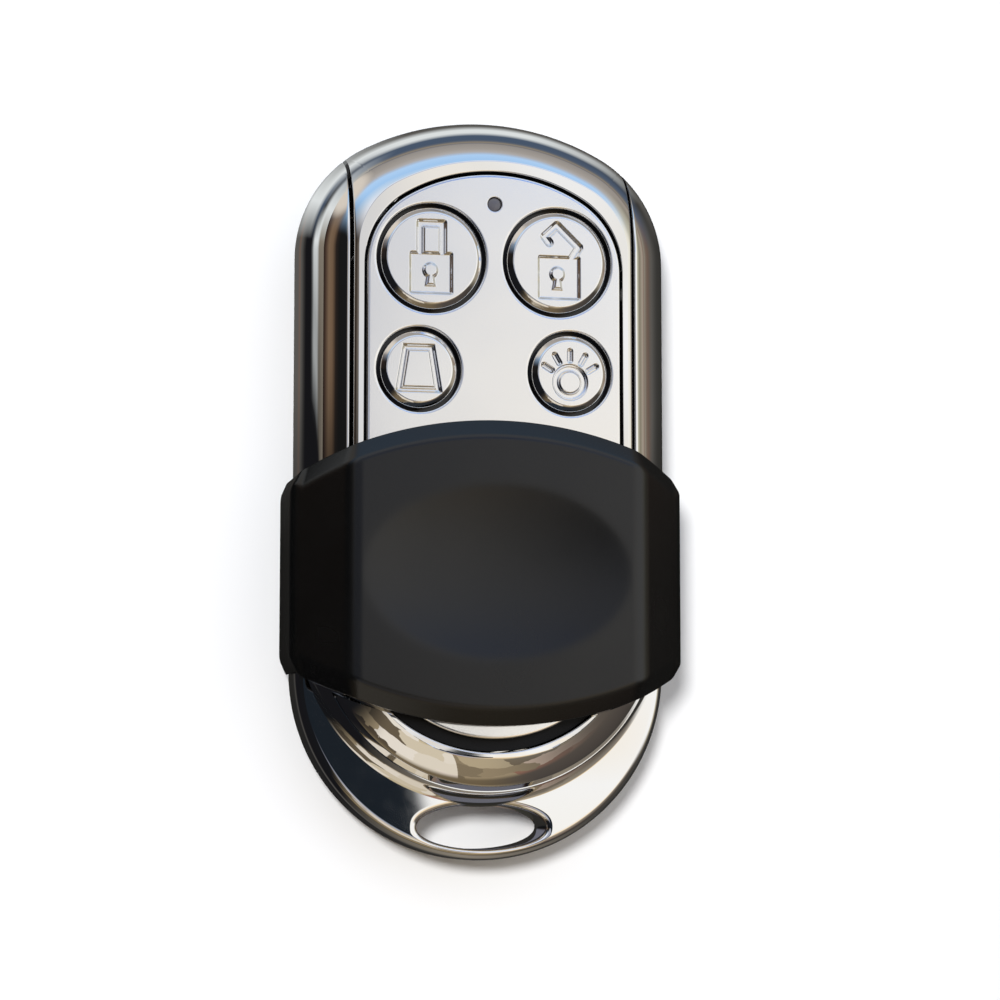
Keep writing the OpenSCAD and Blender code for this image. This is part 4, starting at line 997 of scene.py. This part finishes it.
def makeWorld():
    world = bpy.data.worlds.new("studioRoom")
    scene.world = world
    world.use_nodes = True
    tree = world.node_tree
    tree.nodes.clear()
    place = (addNode(tree, "TexCoord"), "Generated")
    axes = addNode(tree, "SeparateXYZ", {"Vector": place})
    ground = addNode(tree, "VectorMath", {0: place, 1: (1, 1, 0)}, operation="MULTIPLY")
    level = addNode(tree, "VectorMath", {0: (ground, "Vector")}, operation="NORMALIZE")
    way = addNode(tree, "SeparateXYZ", {"Vector": (level, "Vector")})
    sources = {"x": (axes, "X"), "y": (axes, "Y"), "z": (axes, "Z"), "east": (way, "X"), "north": (way, "Y")}
    for name, toward in room.items():
        sources[name] = (addNode(tree, "VectorMath", {0: place, 1: toward}, operation="DOT_PRODUCT"), "Value")
    # shelves of boxes, one tone each, about 20 degrees wide, with uneven edges
    turn = addNode(tree, "Math", {0: (way, "X"), 1: (way, "Y")}, operation="ARCTAN2")
    spread = addNode(tree, "CombineXYZ", {"X": (turn, "Value"), "Y": (axes, "Z")})
    wobble = addNode(tree, "TexNoise", {"Vector": place, "Scale": 5.0, "Detail": 3.0})
    bent = addNode(tree, "VectorMath", {0: (wobble, "Color"), 1: shelf["wobble"], 2: (spread, "Vector")},
                   operation="MULTIPLY_ADD")
    boxes = addNode(tree, "TexBrick", {"Vector": (bent, "Vector"), "Color1": (0, 0, 0, 1),
                    "Color2": (1, 1, 1, 1), "Scale": 1.0, "Mortar Size": 0.0, "Brick Width": shelf["wide"],
                    "Row Height": shelf["high"]}, offset=shelf["shift"])
    sources["boxes"] = (boxes, "Color")
    # sky from warm to cool along the fob, with a slow drift
    cloud = addNode(tree, "TexNoise", {"Vector": place, "Scale": 13.0, "Detail": 1.0})
    forth = addNode(tree, "MapRange", {"Value": (axes, "Y"), "From Min": sky["start"], "From Max": sky["end"]})
    drift = addNode(tree, "MapRange", {"Value": (cloud, "Fac"), "To Min": -sky["drift"], "To Max": sky["drift"]})
    along = addNode(tree, "Math", {0: (forth, "Result"), 1: (drift, "Result")}, operation="ADD")
    sources["sky"] = (along, "Value")
    whole = colour("#141414")
    for source, tones, stretches in layers:
        if source is None:
            tone = colour(tones)
        else:
            tone = (addNode(tree, "ValToRGB", {"Fac": sources[source]}, tones), "Color")
        amount = 1.0
        for axis, start, full in stretches:
            step = addNode(tree, "MapRange", {"Value": sources[axis], "From Min": start, "From Max": full,
                           "To Max": amount}, interpolation_type="SMOOTHSTEP")
            amount = (step, "Result")
        whole = (addNode(tree, "MixRGB", {"Fac": amount, "Color1": whole, "Color2": tone}), "Color")
    shader = addNode(tree, "Background", {"Color": whole, "Strength": 1.0})
    addNode(tree, "OutputWorld", {"Surface": (shader, "Background")})


makeWorld()

# Key lamp: a round softbox up and to the left, aimed at the middle and kept out of the reflections
softbox = {"at": (-0.185, 0.085, 0.6), "size": 0.12, "power": 3.15}


def makeLamp():
    data = bpy.data.lights.new("key_softbox", "AREA")
    data.shape, data.size, data.energy = "DISK", softbox["size"], softbox["power"]
    light = addObject("key_softbox", data)
    x, y, z = light.location = softbox["at"]
    light.rotation_euler = (math.acos(z / math.hypot(x, y, z)), 0, math.atan2(y, x) + quarterTurn)
    light.visible_glossy = False


makeLamp()

# Painted reflection: a glowing sheet round the outline that only the chrome's reflections see, in place of the floor,
# which
# # they don't see; tones run outward from the outline, one row of tones (distance in mm, paper) at each place round the
# fob
sheetTones = {"black": "#17171a", "soot": "#2a2927", "charcoal": "#3d3c3a", "grey": "#5c5a57", "slate": "#4b5a70",
          "taupe": "#6e5c52", "clay": "#8c8478", "pale": "#e4e9eb"}
sheet = {"lamp": [(-2, "charcoal"), (6, "grey"), (12, "pale"), (18, "pale"), (30, "slate"), (80, "slate"),
                  (250, "clay")],
         "rightTop": [(-2, "charcoal"), (8, "grey"), (16, "charcoal"), (50, "slate"), (250, "clay")],
         "right": [(-2, "soot"), (12, "charcoal"), (28, "grey"), (60, "taupe"), (250, "clay")],
         "rightLow": [(-2, "soot"), (12, "soot"), (40, "charcoal"), (250, "taupe")],
         "tailRight": [(-2, "soot"), (12, "charcoal"), (250, "grey")],
         "tail": [(-2, "soot"), (4, "charcoal"), (8, "clay"), (40, "clay"), (250, "charcoal")],
         "tailLeft": [(-2, "soot"), (3, "black"), (5, "grey"), (7, "black"), (250, "black")],
         "leftLow": [(-2, "soot"), (1, "soot"), (4, "charcoal"), (7, "black"), (250, "black")],
         "left": [(-2, "grey"), (3, "grey"), (4.6, "taupe"), (5.4, "grey"), (9, "black"), (250, "black")],
         "leftTurn": [(-2, "grey"), (3, "grey"), (4.6, "taupe"), (5.4, "grey"), (9, "black"), (20, "black"),
                      (26, "pale"), (45, "pale"), (60, "clay"), (250, "clay")],
         "leftTop": [(-2, "grey"), (3, "pale"), (12, "pale"), (18, "slate"), (28, "charcoal"), (44, "pale"),
                     (250, "pale")]}
sheet["rightTurn"] = sheet["right"]
sheetPlaces = np.array([-122, -75, -10, 20, 46, 66, 108])
sheetReach = np.array([-2, 0, 1, 2, 3, 3.6, 4.6, 5.4, 6.4, 8, 10, 12, 15, 18, 21, 24, 27, 31, 36, 42, 52, 62, 80, 120,
                       250, 3000.0])
sheetZ = 0.02


def reflectionSheet():
    side = [run[1:-1] for run in sidePath(halfW, endCy, tailCy, 14)]
    right = zip((pathB, pathN), side, arcPath(0, tailCy, halfW, 0, -90, 60))
    b, n = (np.concatenate([*runs, np.concatenate(runs)[::-1] * flip[:2]]) for runs in right)
    # places round the fob by the turn of the outline and, on the straight sides, by how far along they lie
    turn = np.degrees(np.arctan2(n[:, 1], np.abs(n[:, 0]))) + 2 * np.clip(b[:, 1], -16, 16)
    upper = np.clip(np.searchsorted(sheetPlaces, turn), 1, len(sheetPlaces) - 1)
    low, high = sheetPlaces[upper - 1], sheetPlaces[upper]
    part = np.clip((turn - low) / (high - low), 0, 1)[:, None, None]

    def tones(name):
        stops = np.array([[d, *colour(sheetTones[c])[:3]] for d, c in sheet[name]])
        return np.stack([np.interp(sheetReach, stops[:, 0], stops[:, k]) for k in (1, 2, 3)], 1)

    halves = []
    for hand in ("right", "left"):
        names = ("tail", "tail" + hand.capitalize(), hand + "Low", hand, hand + "Turn", hand + "Top", "lamp")
        rows = np.stack([tones(name) for name in names])
        halves.append(rows[upper - 1] * (1 - part) + rows[upper] * part)
    tone = np.where((np.arange(len(b)) < len(b) // 2)[:, None, None], *halves)
    grid = swept(b, n, -sheetReach[None], sheetZ)
    mesh = bpy.data.meshes.new("painted_reflection_sheet")
    mesh.from_pydata((grid.reshape(-1, 3) * mm).tolist(), [], gridFaces(grid, True, False).tolist())
    mesh.attributes.new("tone", "FLOAT_VECTOR", "POINT").data.foreach_set("vector", tone.reshape(-1))
    emitter = addObject("painted_reflection_sheet", mesh)
    emitter.visible_camera = emitter.visible_diffuse = emitter.visible_shadow = emitter.visible_transmission = False
    material, tree = makeMaterial("paintedReflectionSheet")
    shade = addNode(tree, "Attribute", attribute_name="tone")
    shader = addNode(tree, "Emission", {"Color": (shade, "Vector"), "Strength": 1.0})
    addNode(tree, "OutputMaterial", {"Surface": (shader, "Emission")})
    mesh.materials.append(material)


reflectionSheet()

# Camera at the photograph's angle: the fitted direction, distance and lens
view = {"target": (0.0, 0.0, 7.0), "side": 11.80, "tip": -5.98, "away": 265.0, "right": 1.52, "up": -1.18,
        "focal": 2.9826, "sensor": 36.0, "clip": (0.01, 20)}


def makeCamera():
    a, b = math.radians(view["side"]), math.radians(view["tip"])
    back = np.array([-math.sin(a) * math.cos(b), math.sin(b), math.cos(a) * math.cos(b)])
    right = np.array([math.cos(a), 0, math.sin(a)])
    right = right - back * (right @ back)
    right /= np.linalg.norm(right)
    up = np.cross(back, right)
    place = np.array(view["target"]) + view["away"] * back + view["right"] * right + view["up"] * up
    data = bpy.data.cameras.new("photo_camera")
    data.sensor_width, data.lens = view["sensor"], view["focal"] * view["sensor"]
    data.clip_start, data.clip_end = view["clip"]
    camera = addObject("photo_camera", data)
    camera.matrix_world = Matrix([[*row, at * mm] for *row, at in zip(right, up, back, place)] + [[0, 0, 0, 1]])
    scene.camera = camera


makeCamera()
scene.view_settings.view_transform = "Standard"
print("stage set")
